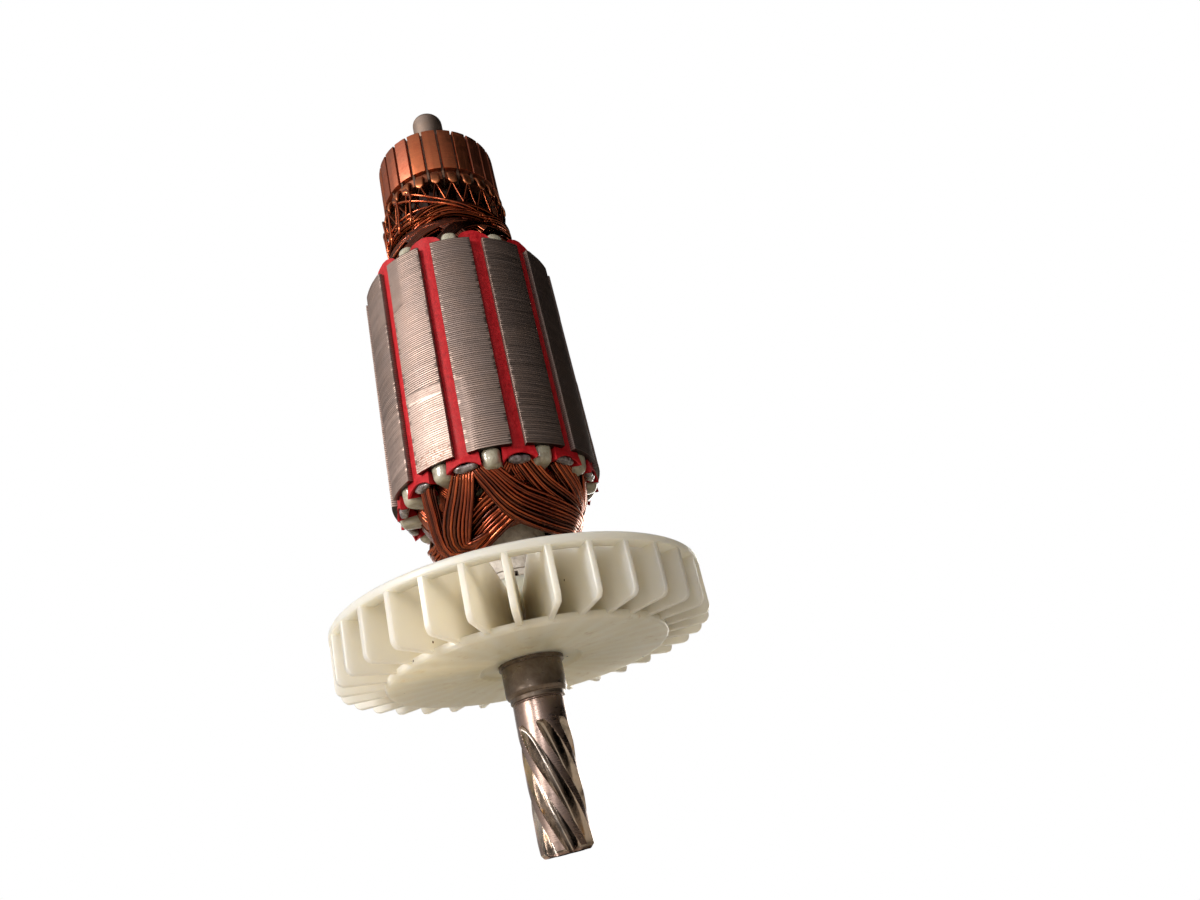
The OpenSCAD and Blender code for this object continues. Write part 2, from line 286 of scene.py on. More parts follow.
def mixColor(tree, fac, *colors):
    a, b = ((*c, 1) if isinstance(c, tuple) else c for c in colors)
    return addNode(tree, "Mix", {"Factor": fac, 6: a, 7: b}, out=2, data_type="RGBA")


def scaled(color, by, more=0):
    # a colour times one number or three, up to full brightness
    factors = by if isinstance(by, tuple) else (by,) * 3
    return tuple(min(1, c * k + more) for c, k in zip(color, factors))


def bumpFrom(tree, height, strength, depth, under=None):
    # depth in millimetres
    values = {"Height": height, "Strength": strength, "Distance": depth * mm}
    if under is not None:
        values["Normal"] = under
    return addNode(tree, "Bump", values)


def grade(tree, fac, low, high, toLow, toHigh, **settings):
    # stretches the numbers from low to high over toLow to toHigh
    return addNode(tree, "MapRange", {"Value": fac, "From Min": low, "From Max": high,
                                      "To Min": toLow, "To Max": toHigh}, **settings)


# plain floor and soft lamps, brightest at the left front
lampSet = {
    "key": {"place": (-0.6, -0.47, 0.3), "size": 0.26, "power": 6.2, "tint": (1, 0.93, 0.85)},
    "front": {"place": (-0.2, -0.68, 0.2), "size": 0.12, "power": 0.7, "tint": (1, 0.96, 0.92)},
    "back": {"place": (0.25, 0.6, 0.1), "size": 0.4, "power": 2.2, "tint": (1, 0.97, 0.9)},
}
lampAim = (0, 0, 0.1)
skySet = {
    "floor": (0.84, 0.77, 0.66), "floorReach": 3.0, "tint": (1, 0.955, 0.91),
    "toBright": (-0.82, -0.55, -0.1), "brightSide": 0.7, "darkSide": 0.0, "darkEnd": -0.35, "brightEnd": 0.85,
    "backdropFrom": 0.72, "backdropFull": 0.97,
}


def addFloor():
    m, tree, bsdf = startFinish("studioFloor", skySet["floor"], 0, 0.9)
    # the floor shows only from above, so a camera under it looks through
    behind = addNode(tree, "NewGeometry", out="Backfacing")
    clear = addNode(tree, "BsdfTransparent")
    both = addNode(tree, "MixShader", {0: behind, 1: bsdf.outputs[0], 2: clear})
    tree.links.new(both, tree.nodes["Material Output"].inputs["Surface"])
    mesh = bpy.data.meshes.new("studioFloor")
    s = skySet["floorReach"]
    mesh.from_pydata([(-s, -s, 0), (s, -s, 0), (s, s, 0), (-s, s, 0)], [], [(0, 1, 2, 3)])
    mesh.materials.append(m)
    floor = bpy.data.objects.new("studioFloor", mesh)
    scene.collection.objects.link(floor)


def addSky():
    world = bpy.data.worlds.new("studio")
    scene.world = world
    world.use_nodes = True
    tree = world.node_tree
    s = skySet
    way = addNode(tree, "TexCoord", out="Generated")
    toLeft = addNode(tree, "VectorMath", {0: way, 1: s["toBright"]}, out="Value", operation="DOT_PRODUCT")
    level = grade(tree, toLeft, s["darkEnd"], s["brightEnd"], s["darkSide"], s["brightSide"],
                  interpolation_type="SMOOTHSTEP")
    soft = addNode(tree, "Background", {"Color": (*s["tint"], 1), "Strength": level})
    white = addNode(tree, "Background", {"Color": (1, 1, 1, 1), "Strength": 1.0})
    # the white backdrop is also seen in metal and clear parts, but only behind the part
    ray = addNode(tree, "LightPath").node.outputs
    shiny = calc(tree, "ADD", ray["Is Glossy Ray"], ray["Is Transmission Ray"])
    behind = grade(tree, axesOf(tree, way)[1], s["backdropFrom"], s["backdropFull"], 0, 1)
    shiny = calc(tree, "MULTIPLY", shiny, behind)
    seen = calc(tree, "ADD", ray["Is Camera Ray"], shiny, use_clamp=True)
    sky = addNode(tree, "MixShader", {0: seen, 1: soft, 2: white})
    tree.links.new(sky, tree.nodes["World Output"].inputs["Surface"])


def addLamps():
    for name, lamp in lampSet.items():
        data = bpy.data.lights.new(name, "AREA")
        data.size = lamp["size"]
        data.energy = lamp["power"]
        data.color = lamp["tint"]
        thing = bpy.data.objects.new(name, data)
        thing.location = lamp["place"]
        aim = Vector(lampAim) - Vector(lamp["place"])
        thing.rotation_euler = aim.to_track_quat("-Z", "Y").to_euler()
        scene.collection.objects.link(thing)


addFloor()
addSky()
addLamps()
print("floor and light set")


# shaft with the pinion cut on it, in millimetres and degrees
shaftSet = {
    "teeth": 7, "tipR": 4.95, "rootR": 3.1, "twist": 5.5, "turn": 5.0, "land": 0.165,
    "flute": 22.8, "runOut": 6.0, "bevel": 0.7,
    "neckR": 5.0, "seatR": 6.0, "seatLow": 28.8, "coreR": 5.5, "journalR": 4.0, "endRound": 1.9,
    # a burr on the seat: degrees, width in degrees, height and how far it stands out
    "burrTurn": -158, "burrWide": 9, "burrHigh": 0.7, "burrOut": 0.55,
}


def groundSteel(name, color, rough, marks, stain):
    # steel with fine turning marks round the shaft and brown stains
    m, tree, bsdf = startFinish(name, color, 1.0, rough)
    rings = cloud(tree, turnedPlace(tree, (0.02, 1, 5)), 0.7, 4)
    blot = cloud(tree, placeIn(tree), 2.6, 5, 0.6, 0.4)
    speck = cloud(tree, placeIn(tree), 0.35, 3)
    dark = scaled(color, (0.5775, 0.5225, 0.4675))
    tone = mixColor(tree, grade(tree, blot, 0.38, 0.66, 0, stain), color, dark)
    tone = mixColor(tree, grade(tree, speck, 0.62, 0.74, 0, 0.5), tone, scaled(color, 0.4))
    shine = calc(tree, "ADD", grade(tree, rings, 0.3, 0.7, -0.05, 0.06),
                 grade(tree, blot, 0.3, 0.7, rough - 0.06, rough + 0.12))
    fine = bumpFrom(tree, rings, marks, 0.02)
    feed(tree, bsdf, tone, shine, bumpFrom(tree, speck, 0.15, 0.02, fine))
    return m


def fluteSteel():
    # bright cut flanks with soft cutter waves and a few bronze stains of old oil
    m, tree, bsdf = startFinish("fluteSteel", (0.56, 0.52, 0.5), 1.0, 0.16)
    film = cloud(tree, placeIn(tree, (1, 1, 0.35)), 2.2, 4, 0.6, 0.3)
    tone = spread(tree, film, [
        (0.35, (0.15, 0.13, 0.115)), (0.5, (0.44, 0.39, 0.35)), (0.64, (0.48, 0.41, 0.36)),
        (0.72, (0.4, 0.25, 0.1)), (0.8, (0.2, 0.11, 0.04))])
    waves = cloud(tree, placeIn(tree, (1, 1, 0.6)), 1.5, 3, 0.5, 0.2)
    under = bumpFrom(tree, waves, 0.22, 0.12)
    grain = bumpFrom(tree, cloud(tree, placeIn(tree), 0.4, 2), 0.08, 0.03, under)
    feed(tree, bsdf, tone, grade(tree, film, 0.3, 0.75, 0.08, 0.22), grain)
    return m


def toothShare(u):
    # height of the tooth, from 0 to 1, at a share u of the pitch from its middle
    t = max(0, abs(u) - shaftSet["land"]) / (0.5 - shaftSet["land"])
    return (1 - t) ** (1.5 + 1.2 * t) if t < 1 else 0


def pinionRadius(u, z):
    s = shaftSet
    out = max(0, (z - (s["flute"] - s["runOut"])) / s["runOut"])
    rise = (s["neckR"] - s["rootR"]) * (1 - math.sqrt(max(0, 1 - out * out)))
    top = min(between(s["tipR"], s["neckR"] - 0.02, min(1, out * 3)), s["tipR"] - s["bevel"] + z)
    return min(top, s["rootR"] + (s["tipR"] - s["rootR"]) * toothShare(u) + rise)


def pinionLevels():
    # heights of the rings up the teeth, closer where the flutes run out
    s = shaftSet
    levels = [0.0, 0.1, 0.25, 0.4, 0.55, s["bevel"]]
    while levels[-1] < s["flute"] - 0.3:
        levels.append(levels[-1] + (0.32 if levels[-1] < s["flute"] - s["runOut"] else 0.2))
    return levels + [s["flute"]]


def shaftTrack():
    # (radius, height) above the teeth: neck, groove, collar and seat, then the body and the end journal
    s = shaftSet
    low, neckR, seatR, coreR, journalR = s["seatLow"], s["neckR"], s["seatR"], s["coreR"], s["journalR"]
    track = rounded([
        (neckR, s["flute"] + 0.02), (neckR, low - 2), (neckR - 0.22, low - 1.9), (neckR - 0.22, low - 1.68),
        (neckR + 0.3, low - 1.6), (neckR + 0.3, low - 0.75), (seatR - 0.35, low - 0.6), (seatR, low),
        (seatR, fanLow + 0.3)], 0.14)
    track += [(coreR + 0.9, fanLow + 0.3), (coreR + 0.9, fanHigh - 0.05), (coreR, fanHigh - 0.05),
              (coreR, barLow - 1), (coreR - 0.5, barLow - 1), (coreR - 0.5, barHigh - 0.5)]
    r = s["endRound"]
    track += rounded([
        (journalR - 0.1, barHigh - 0.5), (journalR, barHigh - 0.3), (journalR, shaftHigh - r)], 0.2)
    for k in range(1, 9):
        a = math.radians(90 * k / 8)
        track.append((journalR - r + r * math.cos(a), shaftHigh - r + r * math.sin(a)))
    return track


def burrAt(angle, z):
    # small burr on the seat where the fan's edge has bitten
    s = shaftSet
    if not s["seatLow"] < z < fanLow + 0.2:
        return 0
    x, y, _ = polar(1, angle, z)
    away = math.hypot((math.degrees(math.atan2(y, x)) - s["burrTurn"]) / s["burrWide"],
                      (z - fanLow + 0.6) / s["burrHigh"])
    return s["burrOut"] * math.exp(-away * away)


def addShaft():
    s = shaftSet
    # shares of the tooth pitch at which the outline has points, closer where the land ends
    half = [0.455, 0.41, 0.37, 0.33, 0.3, 0.27, 0.24, 0.215, 0.195, 0.18, 0.17, 0.163, 0.12, 0.06]
    shares = [-0.5] + [-h for h in half] + [0] + list(reversed(half))
    spots = [((t + u) * 360 / s["teeth"] + s["turn"], u) for t in range(s["teeth"]) for u in shares]
    around = len(spots)
    levels, track = pinionLevels(), shaftTrack()
    verts = [polar(pinionRadius(u, z), angle - s["twist"] * z, z) for z in levels for angle, u in spots]
    for r, z in track:
        for angle, u in spots:
            angle -= s["twist"] * s["flute"]
            verts.append(polar(r + burrAt(angle, z), angle, z))
    rings = len(levels) + len(track)
    faces = ringFaces(rings, around)
    seat, flank, neck, journal = range(4)
    picks = []
    for i in range(rings - 1):
        z = levels[i] if i < len(levels) - 1 else track[max(0, i - len(levels))][1]
        for angle, u in spots:
            if i < len(levels) - 1:
                cut = z > 0.3 and pinionRadius(u, z) < s["tipR"] - 0.12
                picks.append(flank if cut else neck)
            else:
                picks.append(journal if z > barHigh - 1 else seat if z > s["seatLow"] - 1.7 else neck)
    # the two ends are closed by fans of triangles
    middle, end = len(verts), (rings - 1) * around
    verts += [(0, 0, 0), (0, 0, shaftHigh)]
    for j in range(around):
        k = (j + 1) % around
        faces += [(middle, k, j), (middle + 1, end + j, end + k)]
        picks += [neck, journal]
    finishes = [groundSteel("collarSteel", (0.2, 0.165, 0.142), 0.3, 0.3, 0.8), fluteSteel(),
                groundSteel("neckSteel", (0.33, 0.25, 0.225), 0.25, 0.1, 0.4),
                groundSteel("journalSteel", (0.46, 0.36, 0.31), 0.42, 0.3, 0.5)]
    addPiece("shaft", verts, faces, finishes, 28, ["shaft"], "shaft_steel", picks)


addShaft()
print("shaft made")


# moulded fan: back disc and hub, radial vanes, and a ring over their ends
fanSet = {
    "vaneT": 1.15, "ringTop": 45.9, "ringT": 1.7, "ringW": 3.2, "discR": 27.9, "discT": 1.5, "hubR": 8.3,
    "boreR": 6.45, "fringe": 0.8, "cornerR": 36.7, "cornerZ": 34.6, "vaneInZ": 46.4, "vaneTopZ": 49.8,
    "vaneTopR": 23.5, "edge": 0.16,
}


def fanNylon():
    # milky nylon that lets light through, with painted shade browner near the hub, and a few dark specks
    m, tree, bsdf = startFinish("fanNylon", (0.95, 0.9, 0.74), 0.0, 0.36, {
        "Subsurface Weight": 1.0, "Subsurface Radius": (1.0, 0.86, 0.66), "Subsurface Scale": 0.011,
        "Transmission Weight": 0.1})
    arc, size, height = axesOf(tree, turnedPlace(tree))
    # painted shade: browner towards the hub, where the recess between the vanes lies in shade
    tone = mixColor(tree, grade(tree, size, 10, 30, 0.9, 0), (0.98, 0.9, 0.7), (0.93, 0.76, 0.47))
    blot = cloud(tree, placeIn(tree), 7, 4)
    tone = mixColor(tree, grade(tree, blot, 0.35, 0.65, 0, 0.35), tone, (0.97, 0.91, 0.74))
    # painted shade: under the disc it is darker between the vanes, for their shade seen through the nylon
    turn = calc(tree, "MULTIPLY_ADD", arc, vaneCount / 10, -math.radians(vaneTurn) * vaneCount)
    paintedVaneShade = grade(tree, calc(tree, "COSINE", turn), -0.4, 0.95, 0.28, 0)
    under = grade(tree, height, fanLow + 0.3, fanLow + 0.9, 1, 0)
    tone = mixColor(tree, calc(tree, "MULTIPLY", paintedVaneShade, under), tone, (0.84, 0.68, 0.43))
    stain = grade(tree, cloud(tree, placeIn(tree), 4, 5, 0.7), 0.58, 0.75, 0, 0.6)
    tone = mixColor(tree, calc(tree, "MULTIPLY", stain, under), tone, (0.6, 0.38, 0.18))
    specks = addNode(tree, "TexVoronoi", {"Vector": placeIn(tree), "Scale": 0.16}, out="Distance")
    tone = mixColor(tree, calc(tree, "LESS_THAN", specks, 0.035), tone, (0.05, 0.03, 0.02))
    rough = grade(tree, cloud(tree, placeIn(tree), 3, 3), 0.35, 0.65, 0.3, 0.46)
    feed(tree, bsdf, tone, rough, bumpFrom(tree, cloud(tree, placeIn(tree), 0.5, 3), 0.12, 0.05))
    return m


def helperSolid(name, verts, faces):
    # plain helper object with its faces turned outwards
    mesh = meshOf(name, verts, faces)
    bm = bmesh.new()
    bm.from_mesh(mesh)
    bmesh.ops.recalc_face_normals(bm, faces=bm.faces)
    bm.to_mesh(mesh)
    bm.free()
    thing = bpy.data.objects.new(name, mesh)
    scene.collection.objects.link(thing)
    return thing


def shrunk(points, by):
    # closed flat outline moved inwards
    area = sum(a[0] * b[1] - b[0] * a[1] for a, b in zip(points, points[1:] + points[:1]))
    side = 1 if area > 0 else -1
    out = []
    for i, p in enumerate(points):
        a, b = Vector(points[i - 1]), Vector(points[(i + 1) % len(points)])
        d = (b - a).normalized()
        out.append((p[0] - side * d.y * by, p[1] + side * d.x * by))
    return out


def fanOutlines():
    # flat outlines of the disc with its hub, of the ring, and of one vane
    s = fanSet
    low, top, r, inR = fanLow, s["ringTop"], fanR + s["fringe"], fanR + s["fringe"] - s["ringW"]
    discR, discTop, hubR, under = s["discR"], fanLow + s["discT"], s["hubR"], s["ringTop"] - s["ringT"]
    core = rounded([
        (s["boreR"], low + 0.9), (9.4, low + 0.9), (10.2, low + 0.3), (discR - 0.4, low), (discR, low + 0.4),
        (discR, discTop), (hubR + 2, discTop + 0.5), (hubR, discTop + 2.4), (hubR, fanHigh),
        (s["boreR"], fanHigh)], 0.25, 2, closed=True)
    band = rounded([
        (inR, under), (r - 0.1, under), (r, under + 0.3), (r, top - 0.4), (r - 0.4, top), (inR, top)],
        0.25, 2, closed=True)
    vane = rounded([
        (hubR - 0.3, discTop - 0.3), (discR - 1.0, low + 0.42), (discR + 0.3, s["cornerZ"] - 0.15),
        (s["cornerR"] - 0.9, s["cornerZ"]), (s["cornerR"], s["cornerZ"] + 1.0),
        (r - 0.12, under + 0.1), (r - 0.3, top - 0.4), (inR, top - 0.3), (inR - 1.6, s["vaneTopZ"] - 2.2),
        (s["vaneTopR"] + 4, s["vaneTopZ"] - 0.5), (s["vaneTopR"], s["vaneTopZ"]),
        (s["vaneTopR"] - 4, s["vaneTopZ"] - 0.6), (hubR - 0.3, s["vaneInZ"])], 0.7, 4, closed=True)
    return core, band, vane


def vaneMesh(outline):
    # all the vanes, each a flat plate with softened edges
    s = fanSet
    inner = shrunk(outline, s["edge"])
    half, n = s["vaneT"] / 2, len(outline)
    verts, faces = [], []
    for k in range(vaneCount):
        turn = Matrix.Rotation(math.radians(vaneTurn + 360 * k / vaneCount), 3, "Z")
        first = len(verts)
        skins = ((-half, inner), (-half + s["edge"], outline), (half - s["edge"], outline), (half, inner))
        for y, ring in skins:
            verts += [tuple(turn @ Vector((x, y, z))) for x, z in ring]
        faces += ringFaces(4, n, first=first) + endFaces(4, n, first)
    return verts, faces


def addFan():
    core, band, vane = fanOutlines()
    body = helperSolid("fanBody", *lathe(core, 192))
    helpers = [helperSolid("fanVanes", *vaneMesh(vane)), helperSolid("fanBand", *lathe(band, 192))]
    for helper in helpers:
        union = body.modifiers.new("join", "BOOLEAN")
        union.operation = "UNION"
        union.solver = "EXACT"
        union.object = helper
    bpy.context.view_layer.update()
    mesh = bpy.data.meshes.new_from_object(body.evaluated_get(bpy.context.evaluated_depsgraph_get()))
    for thing in helpers + [body]:
        bpy.data.objects.remove(thing)
    mesh.name = "fan"
    dressPiece("fan", mesh, [fanNylon()], 32, ["fan"], "fan_nylon")


addFan()
print("fan moulded")


# rough wrapped sleeve between the fan and the stack, ending in tabs
sleeveSet = {
    "r": 7.9, "boreR": 5.6, "tabR": 8.25, "tabH": 1.35, "tabs": 6, "gap": 0.3, "notch": 0.8, "turn": 34,
    "rough": 0.13, "steps": 56,
}


def sleevePaint():
    m, tree, bsdf = startFinish("roughSleeve", (0.619, 0.584, 0.538), 0.0, 0.75)
    tone = spread(tree, cloud(tree, placeIn(tree), 1.6, 5, 0.65, 0.5), [
        (0.3, (0.327, 0.3, 0.277)), (0.45, (0.568, 0.534, 0.491)), (0.7, (0.722, 0.692, 0.641))])
    grit = cloud(tree, placeIn(tree), 0.6, 5, 0.7)
    feed(tree, bsdf, tone, None, bumpFrom(tree, grit, 0.7, 0.25))
    return m


def sleeveLumps(a, r, z):
    # rough only on the outer wall
    if r < sleeveSet["r"] - 0.3:
        return 0
    x, y, _ = polar(8, a, z)
    grit = wander(x, y, z, 1.3, 3) + 0.6 * wander(x, y, z, 0.5, 4)
    return sleeveSet["rough"] * grit + 0.1 * wander(x, y, z, 4, 5)


def addSleeve():
    s = sleeveSet
    r, bore, base = s["r"], s["boreR"], sleeveLow + s["tabH"]
    foot = base + s["gap"]
    rise = [(r - 0.55, base - 0.05), (r - 0.5, foot), (r - 0.05, foot + 0.12)]
    rise += [(r, between(foot + 0.3, stackLow - 4.5, k / s["steps"])) for k in range(1, s["steps"])]
    rise += [(r - 0.4, stackLow - 3.8), (r - 0.4, stackLow - 0.4), (bore, stackLow - 0.35),
             (bore, base - 0.05)]
    verts, faces = lathe(rise, 150, sleeveLumps)
    # tabs at the fan's end, with narrow notches between
    half, pitch, n = math.degrees(s["notch"] / 2 / s["tabR"]), 360 / s["tabs"], 22
    for k in range(s["tabs"]):
        first = len(verts)
        for j in range(n + 1):
            a = between(s["turn"] + pitch * k + half, s["turn"] + pitch * (k + 1) - half, j / n)
            outer = s["tabR"] + 0.06 * wander(j, k, 0, 2.3)
            ring = [(bore + 0.1, sleeveLow + 0.02), (outer - 0.1, sleeveLow + 0.02),
                    (outer, sleeveLow + 0.15), (outer, base - 0.15), (outer - 0.12, base), (bore + 0.1, base)]
            verts += [polar(size, a, z) for size, z in ring]
        faces += ringFaces(n + 1, 6, first=first) + endFaces(n + 1, 6, first)
    addPiece("fanSleeve", verts, faces, [sleevePaint()], 40, ["fan_sleeve"], "rough_sleeve")


addSleeve()
print("sleeve wrapped")


# stack of punched sheets, ground on the outside, with the grinder's smooth patches and pockets
stackSet = {
    "sheets": 106, "mouth": 2.8, "lip": 1.3, "slotHalf": 3.4, "slotR": 1.5, "slotAt": 12.0, "bore": 5.5,
    "groove": 0.035, "ragged": 0.01, "nick": 0.16,
    # corners as (degrees from the front, height), then depth, smoothness and tone
    "marks": [
        ([(-78, 121), (-62, 121), (-48, 119.3), (-48, 110.4), (-60, 111), (-78, 113.5)], 0.06, 0.85, 0.45),
        ([(-47, 87.7), (-56, 88.6), (-66, 88), (-72, 84), (-74, 71), (-46, 71)], 0.05, 0.7, 0.55),
        ([(-46, 124.6), (-33.2, 124.6), (-33.6, 111.6), (-46, 110.6)], 0.08, 0.9, 0.4),
        ([(-46, 89.6), (-14, 88.6), (-14, 71), (-46, 71)], 0.07, 0.6, 0.62),
        ([(-46, 89.6), (-14, 88.6), (-14, 86.0), (-46, 87.0)], -0.03, 0.9, 1.0),
        ([(-16, 88.8), (-7.5, 88.4), (-6.2, 85.5), (-5.9, 80.3), (-6.8, 71), (-16, 71)], 0.14, 0.75, 0.3),
        ([(-33, 126), (-14, 126), (-14, 119.4), (-33, 118.8)], 0.03, -0.3, 0.1),
        ([(-14, 126), (16, 126), (16, 119.7), (-14, 119.5)], 0.02, -0.3, 0.12),
        ([(17, 98), (27, 100), (26, 90), (16, 91)], 0.0, 0.2, 0.6),
        ([(75, 112), (103, 114), (103, 96), (75, 93)], 0.07, 0.8, 0.5),
        ([(135, 90), (166, 88.6), (166, 71), (135, 71)], 0.08, 0.7, 0.5),
        ([(-130, 118), (-110, 120), (-106, 100), (-134, 97)], 0.07, 0.75, 0.45),
    ],
}


def insideOf(corners, x, y, soft):
    # 1 inside a convex outline, 0 outside, with an edge about soft wide; x is in degrees
    perDegree = 0.393  # millimetres round the stack's face
    n = len(corners)
    pairs = [(corners[i], corners[(i + 1) % n]) for i in range(n)]
    area = sum(a[0] * b[1] - b[0] * a[1] for a, b in pairs)
    reach = 99
    for (ax, ay), (bx, by) in pairs:
        dx, dy = (bx - ax) * perDegree, by - ay
        side = (dx * (y - ay) - dy * (x - ax) * perDegree) / math.hypot(dx, dy)
        reach = min(reach, side if area > 0 else -side)
    return ease(0.5 + reach / soft)


def sheetSteel():
    m, tree, bsdf = startFinish("sheetSteel", (0.288, 0.239, 0.21), 1.0, 0.42, {"Anisotropic": 0.55})
    smooth = addNode(tree, "Attribute", out="Fac", attribute_name="smooth")
    tint = addNode(tree, "Attribute", out="Fac", attribute_name="tint")
    height = axesOf(tree, turnedPlace(tree))[2]
    # one grey for each sheet, and a dark seam between two
    count = calc(tree, "DIVIDE", calc(tree, "SUBTRACT", height, stackLow), 0.5)
    grey = addNode(tree, "TexWhiteNoise", {"W": calc(tree, "FLOOR", count)}, noise_dimensions="1D")
    seam = grade(tree, calc(tree, "PINGPONG", calc(tree, "FRACT", count), 0.5), 0.02, 0.16, 1, 0)
    rubbed = grade(tree, smooth, 0.2, 0.8, 1, 0.12)
    streaks = cloud(tree, turnedPlace(tree, (0.12, 1, 2.4)), 0.9, 4, 0.6)
    blot = cloud(tree, placeIn(tree), 5, 5, 0.6, 0.5)
    tone = spread(tree, streaks, [
        (0.3, (0.209, 0.161, 0.15)), (0.5, (0.259, 0.202, 0.188)), (0.7, (0.31, 0.243, 0.227))])
    tone = mixColor(tree, grade(tree, grey, 0, 1, 0, 0.3), tone, (0.144, 0.123, 0.112))
    tone = mixColor(tree, grade(tree, blot, 0.35, 0.68, 0, 0.5), tone, (0.288, 0.198, 0.156))
    pale = spread(tree, cloud(tree, placeIn(tree), 1.2, 5, 0.65), [
        (0.3, (0.302, 0.226, 0.203)), (0.7, (0.446, 0.356, 0.318))])
    tone = mixColor(tree, grade(tree, tint, 0, 1, 0, 0.75), tone, pale)
    tone = mixColor(tree, calc(tree, "MULTIPLY", seam, rubbed), tone, (0.05, 0.038, 0.034))
    # rust in pits, mostly low on the worn tooth
    pits = cloud(tree, placeIn(tree), 0.45, 3, 0.7)
    worn = calc(tree, "MULTIPLY", grade(tree, height, 74, 84, 1, 0), tint)
    rust = grade(tree, calc(tree, "MULTIPLY", pits, worn), 0.3, 0.42, 0, 0.85)
    tone = mixColor(tree, rust, tone, (0.115, 0.041, 0.017))
    around = addNode(tree, "Tangent", direction_type="RADIAL", axis="Z")
    tree.links.new(around, bsdf.inputs["Tangent"])
    under = bumpFrom(tree, seam, calc(tree, "MULTIPLY", rubbed, 0.6), -0.04)
    feed(tree, bsdf, tone, grade(tree, streaks, 0.3, 0.7, 0.36, 0.54), bumpFrom(tree, pits, 0.3, 0.05, under))
    return m


def sheetOutline():
    # one sheet as (x, y, kind, tooth): slot walls, then a tooth's face between its two corners
    s = stackSet
    half, lipR = s["mouth"] / 2, stackR - s["lip"]
    edge = math.degrees(math.asin(half / stackR))
    wall = [(lipR, -half), (lipR, -s["slotHalf"])]
    for a in (255, 215, 145, 105):
        x, y, _ = polar(s["slotR"], a, 0)
        wall.append((s["slotAt"] + x, y))
    wall += [(lipR, s["slotHalf"]), (lipR, half)]
    shape = []
    for k in range(slotCount):
        mid = slotTurn + k * slotPitch
        first, last = mid + edge, mid + slotPitch - edge
        shape += [(*spun(x, y, 0, mid)[:2], "wall", k) for x, y in wall]
        shape.append((*polar(stackR - 0.12, first, 0)[:2], "corner", k))
        for j in range(14):
            shape.append((*polar(stackR, between(first + 0.25, last - 0.25, j / 13), 0)[:2], "face", k))
        shape.append((*polar(stackR - 0.12, last, 0)[:2], "corner", k))
    return shape


def sheetLevels():
    # heights as (height, sheet, whether it lies in a seam)
    step = (stackHigh - stackLow) / stackSet["sheets"]
    levels = []
    for i in range(stackSet["sheets"]):
        z = stackLow + i * step
        levels += [(z + (0.02 if i else 0), i, True), (z + 0.11, i, False), (z + step - 0.09, i, False)]
    return levels + [(stackHigh, stackSet["sheets"] - 1, True)]


def markedAt(a, z):
    # how smooth, pale and deep the ground face is at an angle and height
    found = (0, 0.25, 0)
    for corners, depth, even, tone in stackSet["marks"]:
        if abs((a - corners[0][0] + 180) % 360 - 180) > 45:
            continue
        inside = insideOf(corners, a, z, 0.45)
        found = tuple(between(old, new, inside) for old, new in zip(found, (even, tone, depth)))
    return found


def sheetPoint(x, y, z, kind, tooth, seam, offset):
    # a point of a tooth's face or corner, with how smooth and pale the steel is there
    s = stackSet
    a = math.degrees(math.atan2(x, -y))
    size = math.hypot(x, y)
    smooth, tint, deep = markedAt(a, z)
    even = max(0, smooth)
    r = size - deep + offset[0] * (1 - even) - (s["groove"] if seam else 0) * (1 - 0.85 * even)
    r += 0.02 * wander(a / 4, tooth, z, 3, 9)
    shift = 0
    if kind == "corner":
        shift = s["ragged"] * offset[1]
        r -= s["nick"] * max(0, wander(tooth * 5 + (1 if a > 0 else 0), 1, z, 1.1, 2) - 0.25)
    return (x / size * r + shift, y / size * r + shift, z), smooth, tint


def addStack():
    s = stackSet
    rng = random.Random(5)
    # each sheet sits a little in or out and its corners lean a little sideways; the third draw is spare
    offsets = [[rng.uniform(-most, most) for most in (0.012, 1, 1)] for _ in range(s["sheets"])]
    shape, levels = sheetOutline(), sheetLevels()
    verts, smooths, tints = [], [], []
    for z, i, seam in levels:
        for x, y, kind, tooth in shape:
            place, smooth, tint = (x, y, z), 0, 0.2
            if kind != "wall":
                place, smooth, tint = sheetPoint(x, y, z, kind, tooth, seam, offsets[i])
            verts.append(place)
            smooths.append(smooth)
            tints.append(tint)
    faces = ringFaces(len(levels), len(shape))
    n, bore = len(verts), 72
    for z in (stackLow, stackHigh):
        verts += [polar(s["bore"], 360 * j / bore, z) for j in range(bore)]
    for j in range(bore):
        k = (j + 1) % bore
        faces.append((n + j, n + bore + j, n + bore + k, n + k))
    mesh = meshOf("laminationStack", verts, faces)
    for name, values in (("smooth", smooths), ("tint", tints)):
        layer = mesh.attributes.new(name, "FLOAT", "POINT")
        layer.data.foreach_set("value", values + [0.0] * (2 * bore))
    # fills each end between the outline and the bore
    bm = bmesh.new()
    bm.from_mesh(mesh)
    bm.verts.ensure_lookup_table()
    bm.edges.ensure_lookup_table()
    for z in (stackLow, stackHigh):
        rim = [e for e in bm.edges if e.is_boundary and all(abs(v.co.z - z * mm) < 1e-6 for v in e.verts)]
        bmesh.ops.triangle_fill(bm, edges=rim, use_beauty=True)
    bmesh.ops.recalc_face_normals(bm, faces=bm.faces)
    bm.to_mesh(mesh)
    bm.free()
    dressPiece("laminationStack", mesh, [sheetSteel()], 50, ["lamination_stack"], "lamination_steel")


addStack()
print("stack built")


# red paper tubes in the slots, standing out of the stack with hollow-cut flared ends
paperSet = {
    "t": 0.35, "clear": 0.05, "flare": 0.28, "wave": 0.07, "swell": 0.12,
    # how far it stands out of the stack: in the middle and at the corners of the fan's end, the round lobe
    # at the other end, and at the bottom of the slot
    "middleOut": 1.5, "cornerOut": 2.9, "lobe": 2.7, "footOut": 1.8,
}


